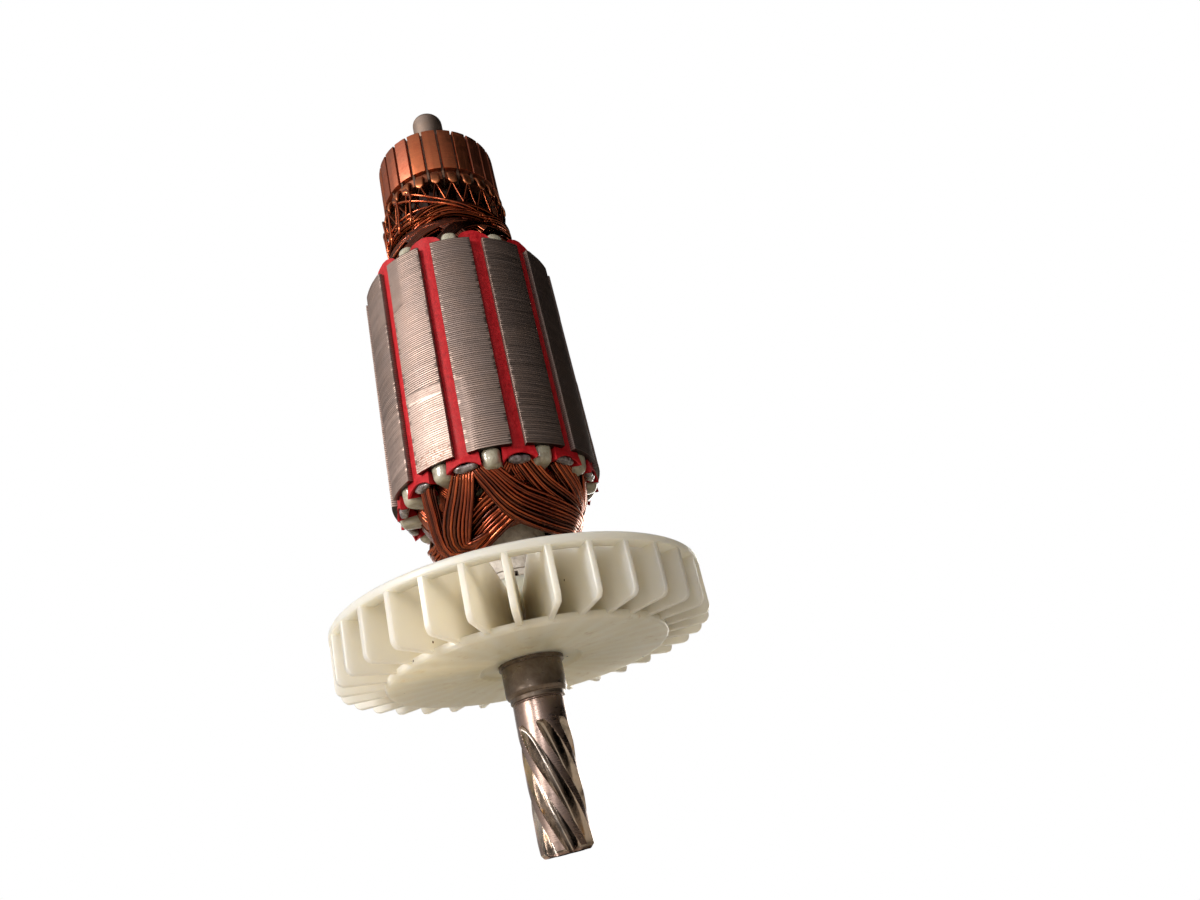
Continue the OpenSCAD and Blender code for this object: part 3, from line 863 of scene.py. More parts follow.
def redPaper():
    m, tree, bsdf = startFinish("redPaper", (0.42, 0.008, 0.015), 0.0, 0.6, {"Specular IOR Level": 0.25})
    fibre = cloud(tree, placeIn(tree, (0.7, 0.7, 0.42)), 0.5, 5, 0.7)
    blot = cloud(tree, placeIn(tree), 3, 3)
    tone = spread(tree, fibre, [
        (0.3, (0.252, 0.003, 0.007)), (0.52, (0.42, 0.008, 0.015)), (0.75, (0.518, 0.028, 0.035))])
    tone = mixColor(tree, grade(tree, blot, 0.4, 0.65, 0, 0.4), tone, (0.294, 0.004, 0.008))
    feed(tree, bsdf, tone, grade(tree, fibre, 0.35, 0.7, 0.42, 0.7), bumpFrom(tree, fibre, 0.5, 0.12))
    return m


def paperShape(inset, flare):
    # closed outline across a slot, the outer wall first; each point also tells how far along that wall it is
    s = stackSet
    top = stackR - s["lip"] - inset + flare
    half = s["slotHalf"] - inset + flare * 0.8
    size = s["slotR"] - inset
    out = []
    for k in range(11):
        wide = k / 5 - 1
        out.append((top + 0.06 * math.cos(math.pi * wide / 2), between(-half, half, k / 10), abs(wide)))
    flank = [(between(top, s["slotAt"], t), between(half, size, t), 1 - t) for t in (0.3, 0.6, 0.85)]
    out += flank
    for a in (75, 45, 15, -15, -45, -75):
        x, y, _ = polar(size, a, 0)
        out.append((s["slotAt"] - x, y, 0))
    return out + [(x, -y, wide) for x, y, wide in reversed(flank)]


def paperStations():
    # rings up a paper as (which end of the stack or 0, share of the way, flare)
    ends = [(1.0, 1.0), (0.72, 0.8), (0.42, 0.4), (0.15, 0.08), (0.0, 0.0)]
    low = [(-1, share, flare) for share, flare in ends]
    high = [(1, share, flare) for share, flare in reversed(ends)]
    return low + [(0, t / 22, 0) for t in range(1, 22)] + high


def paperPoint(x, y, wide, side, share, tilt, seed):
    s = paperSet
    if x < stackSet["slotAt"] + 3:
        reach = s["footOut"]
    elif side < 0:
        reach = between(s["middleOut"], s["cornerOut"], wide ** 2.2) + tilt * y / 3 * wide
    else:
        reach = s["lobe"] * math.sqrt(max(0.05, 1 - 0.9 * wide ** 2)) + tilt * y / 3
    z = stackEnd(side) + side * share * reach if side else between(stackLow, stackHigh, share)
    bulge = s["wave"] * wander(z, y, seed, 2.6, 6) if x > 20 else 0
    # stays under the lips, swells a little in the mouth
    if x > 20.5 and abs(y) < 1.2:
        bulge += s["swell"]
    return x + bulge, y, z


def addPapers():
    s = paperSet
    finish = redPaper()
    stations = paperStations()
    around, rings = len(paperShape(0, 0)), len(stations)
    n = rings * around
    for k in range(slotCount):
        tilt = random.Random(40 + k).uniform(-0.3, 0.3)
        verts = []
        # the outer skin, then the inner one
        for inset in (s["clear"], s["clear"] + s["t"]):
            for side, share, flare in stations:
                for x, y, wide in paperShape(inset, flare * s["flare"]):
                    place = paperPoint(x, y, wide, side, share, tilt, k * 9)
                    verts.append(spun(*place, slotTurn + slotPitch * k))
        faces = ringFaces(rings, around)
        faces += [tuple(reversed([n + v for v in f])) for f in ringFaces(rings, around)]
        for first in (0, n - around):
            for j in range(around):
                i = (j + 1) % around
                quad = (first + j, n + first + j, n + first + i, first + i)
                faces.append(quad if first == 0 else tuple(reversed(quad)))
        name = "%02d" % (k + 1)
        addPiece("slotPaper" + name, verts, faces, [finish], 50, ["slot_paper_" + name], "red_paper")


addPapers()
print("papers folded")


# moulded end caps with one glossy thumb over each tooth
capSet = {
    "high": 3.3, "half": 2.0, "tipR": 21.5, "hubR": 10.2, "hubHigh": 3.0, "boreR": 8.0, "round": 1.1,
    "sides": 30,
}


def capPlastic():
    m, tree, bsdf = startFinish("capPlastic", (0.288, 0.272, 0.216), 0.0, 0.24, {
        "Subsurface Weight": 0.25, "Subsurface Radius": (0.8, 0.64, 0.48), "Subsurface Scale": 0.0012,
        "Coat Weight": 0.3})
    dirt = cloud(tree, placeIn(tree), 2.2, 5, 0.65, 0.5)
    tone = spread(tree, dirt, [
        (0.3, (0.16, 0.12, 0.088)), (0.46, (0.336, 0.32, 0.256)), (0.75, (0.448, 0.44, 0.368))])
    waves = cloud(tree, placeIn(tree), 0.8, 4)
    feed(tree, bsdf, tone, grade(tree, dirt, 0.35, 0.65, 0.3, 0.14), bumpFrom(tree, waves, 0.2, 0.1))
    return m


def capThumb(side, mid, rng):
    # rounded block from the hub to the tip of a tooth, as rings up its height
    s = capSet
    high = s["high"] + rng.uniform(-0.25, 0.35)
    verts = []
    shares = (0.0, 0.2, 0.45, 0.65, 0.78, 0.87, 0.94, 0.98, 1.0)
    for t in shares:
        lift = max(0, (t - 0.62) / 0.38)
        shrink = s["round"] * (1 - math.sqrt(max(0, 1 - lift * lift)))
        half, tip = s["half"] - shrink * 0.8 - 0.08 * t, s["tipR"] - shrink - 0.3 * t
        if t == 1.0:
            half, tip = half * 0.75, tip - 0.3
        root = s["hubR"] - 1 + shrink * 0.3
        for j in range(s["sides"]):
            ca, sa, _ = polar(1, 360 * j / s["sides"], 0)
            x = between(root, tip, 0.5) + (tip - root) / 2 * math.copysign(abs(ca) ** 0.28, ca)
            y = half * math.copysign(abs(sa) ** 0.62, sa)
            if ca > 0:
                y *= 1 - 0.16 * ca ** 6
            x += 0.05 * wander(x, y, t * 4 + mid, 2.0, 8)
            verts.append(spun(x, y, stackEnd(side) + side * high * t, mid))
    return verts, ringFaces(len(shares), s["sides"]) + endFaces(len(shares), s["sides"])


def addCaps():
    s = capSet
    finish = capPlastic()
    for side, name, node in ((1, "endCapUpper", "insulator_upper"), (-1, "endCapLower", "insulator_lower")):
        rng = random.Random(11 + side)
        base, high = stackEnd(side), stackEnd(side) + side * s["hubHigh"]
        hub = rounded([(s["boreR"], base), (s["hubR"], base), (s["hubR"], high), (s["boreR"], high)],
                      0.5, 3, closed=True)
        verts, faces = lathe(hub, 96)
        for k in range(slotCount):
            join(verts, faces, *capThumb(side, slotTurn + (k + 0.5) * slotPitch, rng))
        addPiece(name, verts, faces, [finish], 60, [node], "end_insulator")


addCaps()
print("end caps moulded")


# lumps of dark varnish in the mouths of the papers
lumpSet = {"r": 20.2, "out": 2.0, "wide": 2.5, "high": 0.85, "thick": 0.95}


def varnish():
    m, tree, bsdf = startFinish("varnish", (0.06, 0.043, 0.043), 0.0, 0.16, {"Coat Weight": 0.8})
    skin = cloud(tree, placeIn(tree), 1.3, 4, 0.6, 0.6)
    tone = spread(tree, skin, [
        (0.35, (0.043, 0.03, 0.03)), (0.52, (0.17, 0.145, 0.153)), (0.7, (0.391, 0.365, 0.374))])
    feed(tree, bsdf, tone, grade(tree, skin, 0.3, 0.7, 0.12, 0.34), bumpFrom(tree, skin, 0.5, 0.25))
    return m


def lumpMesh(side, k):
    # one uneven lump that lies across the mouth of a paper
    s = lumpSet
    rows, sides = 11, 18
    rng = random.Random(70 + k + 20 * side)
    wide, high = s["wide"] * rng.uniform(0.85, 1.1), s["high"] * rng.uniform(0.8, 1.2)
    base = stackEnd(side) + side * (s["out"] + rng.uniform(-0.15, 0.3))
    verts = []
    for i in range(rows):
        t = math.pi * i / (rows - 1)
        y, ring = -wide * math.cos(t), math.sin(t) ** 0.7
        for j in range(sides):
            ca, sa, _ = polar(1, 360 * j / sides, 0)
            lump = 1 + 0.3 * wander(y + k * 11, ca, sa, 1.3, 12)
            x, z = s["r"] + s["thick"] * ring * ca * lump, base + high * ring * sa * lump
            verts.append(spun(x, y, z, slotTurn + slotPitch * k))
    return verts, ringFaces(rows, sides) + endFaces(rows, sides)


def addLumps():
    finish = varnish()
    for side, word in ((1, "Upper"), (-1, "Lower")):
        verts, faces = [], []
        for k in range(slotCount):
            join(verts, faces, *lumpMesh(side, k))
        addPiece("varnish" + word, verts, faces, [finish], 60)


addLumps()
print("varnish poured")


# winding: each coil is two groups of closed wires through two slots
wireSet = {"r": 0.36, "sides": 8, "step": 1.7, "loose": 0.06, "seed": 21}
# a stop on a group's way: degrees, radius of its outer face, height over the stack, width, thickness, lean
generalWay = {
    "a": [(7.3, 20.1, 1.0, 2.6, 2.4, 2), (9.2, 19.7, 3.0, 3.0, 2.2, 8),
          (14.6, 18.7, 5.4, 3.4, 1.8, 16), (21, 17.6, 8.0, 3.8, 1.6, 22),
          (29, 16.7, 9.9, 4.0, 1.5, 26), (41, 16.0, 11.5, 4.0, 1.5, 30),
          (58, 15.4, 12.5, 4.0, 1.5, 36), (80, 15.0, 12.7, 3.8, 1.5, 40),
          (98, 14.6, 12.0, 3.4, 1.5, 42), (112, 14.0, 10.5, 3.0, 1.6, 40),
          (124, 13.9, 8.3, 2.8, 1.8, 30), (134, 14.3, 5.9, 2.4, 2.0, 16),
          (142, 14.8, 3.5, 2.2, 2.2, 6), (147.5, 15.4, 1.2, 2.2, 2.4, 0)],
    "b": [(-1.5, 20.0, 1.0, 2.6, 2.4, 2), (-3.8, 19.5, 3.0, 2.8, 2.2, 8),
          (-8.5, 18.2, 6.2, 3.2, 1.8, 18), (-16, 16.7, 9.8, 3.4, 1.6, 26),
          (-22.5, 15.4, 12.4, 3.4, 1.6, 36), (-26, 13.9, 14.6, 3.4, 1.5, 56),
          (-22, 12.4, 15.2, 3.2, 1.4, 80), (-10, 11.7, 14.4, 3.2, 1.4, 92),
          (8, 11.4, 13.0, 3.0, 1.4, 95), (30, 11.4, 11.8, 3.0, 1.4, 92),
          (58, 11.6, 10.8, 2.8, 1.4, 90), (86, 11.9, 9.8, 2.6, 1.4, 88),
          (110, 12.2, 8.2, 2.4, 1.5, 80), (130, 12.8, 5.6, 2.2, 1.6, 50),
          (143, 13.6, 2.8, 2.0, 1.8, 12), (150.5, 14.0, 0.8, 1.8, 2.2, 0)],
}
# the groups in view at the fan's end, measured from the front and from the pinion's end
frontWays = {
    "05a": [(-98, 18.6, 70.5, 2.4, 2.2, 2), (-96, 17.8, 68.6, 2.6, 2.0, 8),
            (-91, 16.5, 66.2, 2.8, 1.8, 16), (-83, 15.4, 63.7, 3.2, 1.5, 24),
            (-72, 14.0, 61.0, 4.0, 1.4, 34), (-60, 13.0, 58.8, 5.0, 1.3, 42)],
    "05b": [(-106, 18.4, 70.5, 2.4, 2.2, 2), (-108, 17.4, 68.4, 2.6, 2.0, 10),
            (-110, 16.2, 66, 2.8, 1.8, 18), (-110, 14.8, 63, 3.0, 1.6, 26),
            (-104, 13.4, 60.6, 3.0, 1.5, 44), (-92, 12.4, 59.0, 3.0, 1.4, 66),
            (-76, 11.6, 58.6, 3.0, 1.4, 84)],
    "06a": [(-69, 18.4, 70.6, 2.4, 2.2, 2), (-67, 17.4, 68.2, 2.6, 2.0, 8),
            (-62, 15.8, 65.4, 2.8, 1.7, 18), (-52, 14.4, 63.0, 3.0, 1.5, 28),
            (-37, 13.4, 61.4, 3.2, 1.4, 38), (-16, 12.8, 60.6, 3.4, 1.4, 50),
            (8, 12.4, 60.4, 3.4, 1.4, 60)],
    "06b": [(-79, 18.2, 70.6, 2.6, 2.2, 2), (-80, 17.3, 68.4, 2.8, 2.0, 8),
            (-78.5, 16.1, 66.0, 3.0, 1.8, 18), (-72, 14.7, 63.4, 3.0, 1.6, 28),
            (-62, 13.4, 60.6, 3.0, 1.5, 44), (-49, 12.4, 58.8, 3.0, 1.4, 66),
            (-34, 11.6, 58.4, 3.0, 1.4, 84)],
    "07a": [(-42.5, 17.9, 70.6, 2.0, 1.8, 4), (-40.5, 17.4, 69.4, 2.2, 1.7, 10),
            (-37.5, 16.9, 68.0, 2.4, 1.6, 14), (-33, 16.2, 66.4, 2.6, 1.5, 20),
            (-24, 15.3, 64.6, 2.8, 1.4, 26), (-8, 14.4, 63.2, 3.0, 1.4, 32),
            (14, 13.8, 62.4, 3.2, 1.4, 40)],
    "07b": [(-44.5, 20.1, 70.6, 2.8, 2.4, 2), (-46.4, 19.8, 68.6, 3.0, 2.2, 6),
            (-48.8, 18.9, 66.5, 3.2, 2.0, 14), (-51.2, 18.0, 64.5, 3.3, 1.9, 20),
            (-55.6, 16.8, 61.7, 3.4, 1.8, 25), (-59.6, 15.2, 58.6, 3.4, 1.6, 36),
            (-59, 13.7, 56.7, 3.4, 1.5, 58), (-53, 12.2, 56.3, 3.2, 1.4, 84),
            (-41, 11.4, 57.2, 3.2, 1.4, 96)],
    "08a": [(-8.5, 20.1, 70.8, 4.6, 2.2, 2), (-6.2, 19.8, 68.8, 5.0, 1.9, 8),
            (-0.6, 18.8, 66.1, 5.8, 1.6, 15), (6.0, 17.6, 63.5, 6.8, 1.4, 20),
            (14, 16.8, 61.5, 7.4, 1.3, 23), (27, 16.2, 59.9, 7.8, 1.3, 26),
            (44, 15.7, 58.9, 7.6, 1.3, 28), (63, 15.5, 58.8, 6.8, 1.3, 30),
            (82, 15.3, 59.2, 5.6, 1.4, 34), (98, 14.9, 60.0, 4.4, 1.5, 38)],
    "08b": [(-16.5, 20.1, 70.6, 4.8, 2.4, 2), (-18.8, 19.8, 68.6, 5.2, 2.2, 6),
            (-24, 18.5, 65.2, 6.2, 1.9, 15), (-32, 17.0, 61.6, 7.0, 1.7, 22),
            (-38.5, 15.6, 58.9, 7.0, 1.5, 34), (-41.5, 13.9, 56.8, 6.0, 1.4, 58),
            (-35, 12.4, 56.3, 5.0, 1.3, 84), (-22, 11.6, 57.2, 4.4, 1.3, 95)],
    "09a": [(18.5, 19.6, 70.2, 4.2, 2.0, 2), (20.6, 19.4, 68.8, 4.2, 1.8, 8),
            (24.8, 18.8, 67.0, 4.4, 1.7, 12), (30, 18.1, 65.4, 4.6, 1.6, 16),
            (38, 17.4, 64.0, 4.8, 1.5, 20), (48, 17.0, 62.9, 4.8, 1.5, 22),
            (63, 16.6, 62.1, 4.6, 1.5, 24), (80, 16.2, 61.6, 4.2, 1.5, 27)],
    "09b": [(13.5, 18.6, 70.4, 2.8, 2.0, 2), (14.5, 17.8, 68.6, 2.8, 1.8, 8),
            (19, 16.9, 66.4, 2.8, 1.6, 14), (26, 15.9, 64.4, 3.0, 1.5, 20),
            (38, 15.2, 62.4, 3.2, 1.4, 26), (54, 14.6, 61.2, 3.2, 1.4, 32)],
    "10a": [(42, 19.8, 70.4, 4.0, 2.2, 2), (45.4, 19.5, 69.0, 4.2, 2.0, 6),
            (49.8, 19.1, 67.7, 4.2, 1.8, 10), (57, 18.6, 66.4, 4.4, 1.7, 14),
            (68, 17.9, 64.9, 4.4, 1.6, 18), (82, 17.2, 63.4, 4.2, 1.5, 22)],
    "10b": [(45, 17.6, 70.6, 2.8, 2.0, 2), (47, 17.4, 68.8, 3.0, 1.8, 8),
            (52, 17.0, 66.8, 3.0, 1.6, 14), (62, 16.3, 65.0, 3.0, 1.5, 20),
            (76, 15.6, 63.0, 3.0, 1.4, 26)],
    "11a": [(72, 20.0, 70.6, 3.4, 2.2, 2), (75, 19.4, 68.8, 3.6, 2.0, 8),
            (81, 18.5, 66.4, 3.8, 1.8, 14), (91, 17.4, 64.0, 3.8, 1.6, 20)],
    "11b": [(79, 18.4, 70.6, 3.0, 2.0, 2), (81, 17.8, 68.6, 3.2, 1.8, 8),
            (86, 16.8, 66.0, 3.2, 1.6, 16), (96, 15.8, 63.6, 3.2, 1.5, 22)],
}
# the last parts of the groups that come in from the left
lastWays = {
    "04a": [(-62, 12.6, 60.4, 2.6, 1.4, 46), (-46, 13.4, 61.0, 2.8, 1.3, 40),
            (-31, 13.8, 62.0, 3.0, 1.3, 34), (-14, 14.6, 63.8, 3.0, 1.3, 28),
            (-2, 15.6, 65.8, 3.0, 1.3, 20), (5.4, 17.0, 68.0, 2.8, 1.4, 12),
            (9.6, 18.2, 69.6, 2.6, 1.6, 4), (11, 18.8, 70.8, 2.6, 1.8, 0)],
    "05a": [(-46, 12.6, 57.6, 6.4, 1.3, 42), (-33, 13.2, 58.0, 7.2, 1.2, 36),
            (-20, 14.0, 59.2, 7.6, 1.1, 30), (-7, 14.8, 60.8, 7.8, 1.1, 26),
            (5, 15.5, 62.5, 7.4, 1.1, 24), (15, 16.2, 64.4, 6.4, 1.2, 20),
            (25, 16.9, 66.6, 5.2, 1.3, 15), (33, 17.5, 68.3, 4.0, 1.4, 8),
            (39, 17.9, 69.8, 3.2, 1.6, 3), (41, 17.9, 71.0, 2.6, 1.8, 0)],
}
# how many wires wide and deep the groups are that show; the others have five by two
wireCounts = {
    "04a": (4, 2), "05a": (9, 2), "07b": (5, 3), "08a": (10, 2), "08b": (8, 2), "09a": (6, 2), "10a": (6, 2),
}


def enamel(name, bright, coat=0.5):
    # copper under a dark red-brown varnish, worn brighter here and there
    m, tree, bsdf = startFinish(name, (0.26, 0.074, 0.031), 1.0, 0.22, {
        "Coat Weight": coat, "Coat Roughness": 0.08, "Coat Tint": (1, 0.8, 0.66, 1)})
    film = cloud(tree, placeIn(tree), 6, 4, 0.5, 0.4)
    tone = spread(tree, film, [
        (0.32, scaled((0.17, 0.028, 0.008), bright)), (0.5, scaled((0.29, 0.06, 0.018), bright)),
        (0.68, scaled((0.42, 0.105, 0.034), bright))])
    waves = cloud(tree, placeIn(tree), 1.2, 2)
    feed(tree, bsdf, tone, grade(tree, film, 0.3, 0.7, 0.2, 0.12), bumpFrom(tree, waves, 0.05, 0.04))
    return m


def curveThrough(points, step, closed):
    # smooth curve through points of any width; the first three numbers are a place
    straight = 25  # gaps longer than this stay straight, as inside the slots
    n = len(points)
    out = []
    for i in range(n if closed else n - 1):
        if closed:
            p = [points[(i + k) % n] for k in (-1, 0, 1, 2)]
        else:
            p = [points[min(n - 1, max(0, i + k))] for k in (-1, 0, 1, 2)]
        gaps = [math.dist(a[:3], b[:3]) for a, b in zip(p, p[1:])]
        parts = 1 if gaps[1] > straight else max(1, round(gaps[1] / step))
        for k in range(parts):
            t = k / parts
            if max(gaps) > straight:
                out.append(tuple(between(a, b, t) for a, b in zip(p[1], p[2])))
                continue
            w = (-0.5 * t + t * t - 0.5 * t ** 3, 1 - 2.5 * t * t + 1.5 * t ** 3,
                 0.5 * t + 2 * t * t - 1.5 * t ** 3, -0.5 * t * t + 0.5 * t ** 3)
            out.append(tuple(sum(a * v[j] for a, v in zip(w, p)) for j in range(len(p[1]))))
    if not closed:
        out.append(tuple(points[-1]))
    return out


def tube(points, r, sides, closed):
    # round wire along points, each with a direction that its frame leans on
    verts, n = [], len(points)
    for i, (p, out) in enumerate(points):
        a = points[i - 1][0] if closed or i else p
        b = points[(i + 1) % n][0] if closed or i < n - 1 else p
        along = (b - a).normalized()
        up = (out - out.dot(along) * along).normalized()
        side = along.cross(up)
        for k in range(sides):
            w = 2 * math.pi * k / sides
            verts.append(tuple(p + r * (math.cos(w) * up + math.sin(w) * side)))
    return verts, ringFaces(n, sides, closed) + ([] if closed else endFaces(n, sides))


def atStop(stop, across, deep, sway):
    # place on a group's way: across its width and deep into its thickness as shares, then swayed a little
    x, y, z, ox, oy, oz, lx, ly, lz, wide, thick = stop
    out, side = Vector((ox, oy, oz)).normalized(), Vector((lx, ly, lz)).normalized()
    p = Vector((x, y, z)) + side * (across * wide + sway[0]) - out * (deep * thick + sway[1])
    return p, out


def stopsOf(way, side):
    # turns (degrees from the front, radius, height, width, thickness, lean) into places and directions
    out = []
    for i, (az, r, z, wide, thick, lean) in enumerate(way):
        flat = Vector(polar(1, az - 90, 0))
        a, b = way[max(0, i - 1)], way[min(len(way) - 1, i + 1)]
        along = (Vector(polar(b[1], b[0] - 90, b[2])) - Vector(polar(a[1], a[0] - 90, a[2]))).normalized()
        n = math.cos(math.radians(lean)) * flat + math.sin(math.radians(lean)) * Vector((0, 0, side))
        n = (n - n.dot(along) * along).normalized()
        out.append((*Vector(polar(r, az - 90, z)), *n, *along.cross(n), wide, thick))
    return out


def endWay(name, start, side):
    # one group's way around one end, from its outer slot to its inner slot
    base = stackEnd(side)
    way = [(start + a, r, base + side * h, w, t, lean) for a, r, h, w, t, lean in generalWay[name[-1]]]
    if side < 0 and name in frontWays:
        front = frontWays[name]
        way = front + [stop for stop in way if stop[0] > front[-1][0] + 14]
    if side < 0 and name in lastWays:
        end = lastWays[name]
        way = [stop for stop in way if stop[0] < end[0][0] - 12] + end
    return way


def groupTrack(name, start):
    # closed way of a group: round the fan's end, up its inner slot, round the other end and back down
    y = 4 if name[-1] == "a" else -4
    low, high = stackLow + 6, stackHigh - 6
    up = [(start + 150 + y * 0.8, 15.8, z, 2.4, 2.6, 0) for z in (low, high)]
    down = [(start + y, 19.8, z, 2.4, 2.6, 0) for z in (high, low)]
    stops = stopsOf(endWay(name, start, -1), -1) + stopsOf(up, 1)
    stops += stopsOf(list(reversed(endWay(name, start, 1))), 1) + stopsOf(down, -1)
    track = curveThrough(stops, wireSet["step"], True)
    # keeps the width's direction from flipping
    sides = [Vector(t[6:9]) for t in track]
    for i in range(1, len(track)):
        if sides[i].dot(sides[i - 1]) < 0:
            sides[i] = -sides[i]
    return [(*t[:6], *side, *t[9:]) for t, side in zip(track, sides)]


def wirePoint(stop, col, cols, row, rows, off, seed):
    # place of one wire of a group, which lies looser outside the stack
    x, y, z = stop[:3]
    free = ease(max(stackLow - z, z - stackHigh) / 4)
    loose = wireSet["loose"] * (0.3 + free * (1.6 if row else 1.0))
    sway = (loose * 2.2 * wander(x + seed * 3, y, z, 9), loose * wander(x, y + seed * 3, z, 6, 2))
    across = (col + 0.5 + (0.5 if row % 2 else 0)) / (cols + 0.5) - 0.5 + off
    return atStop(stop, across, (row + 0.5) / rows * 0.9, sway)


def addCoils():
    s = wireSet
    finishes = [enamel("enamelBright", 1.2), enamel("enamelMiddle", 0.85), enamel("enamelDarkAndShade", 0.35),
                enamel("enamelVarnished", 0.6)]
    bright, middle, dark, varnished = range(4)
    for k in range(1, slotCount + 1):
        key = "%02d" % k
        verts, faces, picks = [], [], []
        for letter in "ab":
            cols, rows = wireCounts.get(key + letter, (5, 2))
            track = groupTrack(key + letter, fromFront(slotTurn + slotPitch * k))
            rng = random.Random(s["seed"] + k * 10 + ord(letter))
            for row in range(rows):
                for col in range(cols):
                    seed, off = rng.uniform(0, 99), rng.uniform(-0.03, 0.03)
                    path = [wirePoint(stop, col, cols, row, rows, off, seed) for stop in track]
                    more, moreFaces = tube(path, s["r"], s["sides"], True)
                    join(verts, faces, more, moreFaces)
                    # inner rows take the dark finish as painted shade under the outer row; the outer row's
                    # tone differs at random
                    tone = dark if row else rng.choice((bright, bright, middle, middle, middle, dark))
                    picks += [varnished if more[f[0]][2] > stackHigh - 1 else tone for f in moreFaces]
        addPiece("coil" + key, verts, faces, finishes, None, ["coil_" + key], "enamelled_wire", picks)


addCoils()
print("coils wound")


# leads from the coils up to the hooks, round a core of varnished wire
leadSet = {"r": 0.3, "hookTip": 149.0, "turn": -1.3, "seed": 8, "bundles": 5, "wires": 13, "bundleZ": 137.2}


def crossingLead(hook, way, rng):
    # from under the hook's tip down into the dark between the coils
    tip = leadSet["hookTip"]
    lean, deep = rng.uniform(9, 17) * way, rng.uniform(0.6, 1.5)
    stops = [polar(14.1, hook - 1.5 * way, tip + 2.0), polar(14.7, hook - 0.5 * way, tip + 0.9),
             polar(15.0, hook + 1.2 * way, tip - 0.5)]
    for j in range(1, 7):
        t = j / 6
        r = 15.0 - deep * t ** 0.6 + rng.uniform(-0.15, 0.15)
        stops.append(polar(r, hook + 1.2 * way + lean * t, tip - 0.5 - 9.0 * t))
    return stops


def longLead(hook, k, rng):
    # leaves its hook on the outside and runs far round on its way down
    tip = leadSet["hookTip"]
    reach = 62 + rng.uniform(-4, 6)
    stops = [polar(14.6, hook - 1.5, tip + 1.2), polar(15.3, hook - 0.6, tip + 0.3),
             polar(15.6, hook + 1.8, tip - 0.7)]
    for j in range(1, 9):
        t = j / 8
        stops.append(polar(15.65 - 0.3 * t + 0.1 * math.sin(9 * t), hook + 1.8 + reach * t,
                           tip - 0.7 - 8.2 * t ** 0.85 + 0.25 * math.sin(5 * t + k)))
    return stops


def loopLead(hook, rng):
    # hangs almost straight down
    tip = leadSet["hookTip"]
    stops = [polar(14.6, hook - 4.5, tip + 0.6), polar(15.3, hook - 2.5, tip + 1.6),
             polar(15.9, hook + 2.0, tip + 0.8), polar(16.0, hook + 5.0, tip - 0.9)]
    for j in range(1, 6):
        sway = rng.uniform(-0.8, 0.8)
        stops.append(polar(15.9 - 0.08 * j, hook + 5.6 - 1.0 * j + sway, tip - 0.9 - 1.8 * j))
    return stops


def bundleWire(start, lift, deep, reach):
    # one wire of a loose bundle that comes up out of the coils and runs round
    stops = []
    for i in range(10):
        t = i / 9
        rise = 2.6 * math.sin(min(1, t * 2.4) * math.pi / 2) - 1.8 * max(0, t - 0.5)
        stops.append(polar(15.0 + deep - 0.6 * (t - 0.4) ** 2, start + reach * t,
                           leadSet["bundleZ"] + lift + rise))
    return stops


def coreLumps(a, r, z):
    return 0.45 * wander(a / 3.5, r, z - a * 0.1, 1.4, 14) if r > 9 else 0


def addLeads():
    s = leadSet
    rng = random.Random(s["seed"])
    finishes = [enamel("leadBright", 1.3), enamel("leadDarkAndShade", 0.3, 0.1), enamel("leadCoreInShade", 0.12),
                enamel("leadMiddle", 0.7, 0.15)]
    bright, dark, core, middle = range(4)
    verts, faces, picks = [], [], []

    def wire(stops, r, tone):
        path = [(Vector(p), Vector((p[0], p[1], 0)).normalized()) for p in curveThrough(stops, 1.3, False)]
        more, moreFaces = tube(path, r, 6, False)
        join(verts, faces, more, moreFaces)
        picks.extend([tone] * len(moreFaces))

    for k in range(barCount):
        hook = barTurn + (k + 0.5) * barPitch + s["turn"]
        front = fromFront(hook)
        # two leads cross under each hook, and those at the left front have more outside
        for way in (-1, 1):
            stops = crossingLead(hook, way, rng)
            # most crossing leads take the dark finish as painted shade under the hooks
            wire(stops, s["r"], middle if rng.random() < 0.4 else dark)
        if -58 < front < -25:
            wire(longLead(hook, k, rng), s["r"] * 1.1, bright)
        if -95 < front < -20 or abs(front) > 110 and k % 3 == 0:
            wire(loopLead(hook, rng), s["r"], bright)
    for k in range(s["bundles"]):
        start = -130 + 360 / s["bundles"] * k
        for j in range(s["wires"]):
            lift, deep, reach = rng.uniform(-1.4, 3.2), rng.uniform(-0.9, 0.4), rng.uniform(80, 100)
            # deeper wires take the dark finish as painted shade; the others take tones in turn
            tone = (bright, middle, dark, middle)[j % 4] if deep > -0.5 else dark
            wire(bundleWire(start + j * 1.3, lift, deep, reach), s["r"], tone)
    # round core of varnished wire behind them, near black as painted shade under the hooks
    profile = rounded([
        (8.0, 135.5), (13.6, 135.5), (13.6, 141), (13.0, 146), (12.6, 150.2), (10.6, 150.8), (8.0, 150.8)],
        0.8, 3, closed=True)
    more, moreFaces = lathe(profile, 144, coreLumps)
    join(verts, faces, more, moreFaces)
    picks += [core] * len(moreFaces)
    addPiece("leads", verts, faces, finishes, None, ["lead_band"], "enamelled_wire", picks)


addLeads()
print("leads soldered")


# commutator: 24 copper bars with hooks, on a dark moulding
barSet = {
    "r": 15.0, "riserR": 13.8, "gap": 0.6, "low": 154.2, "high": 167.7, "riserLow": 151.6, "innerR": 10.4,
    "hookW": 2.15, "hookT": 0.75, "hookLen": 5.0, "hookTurn": -1.3, "edge": 0.12,
}


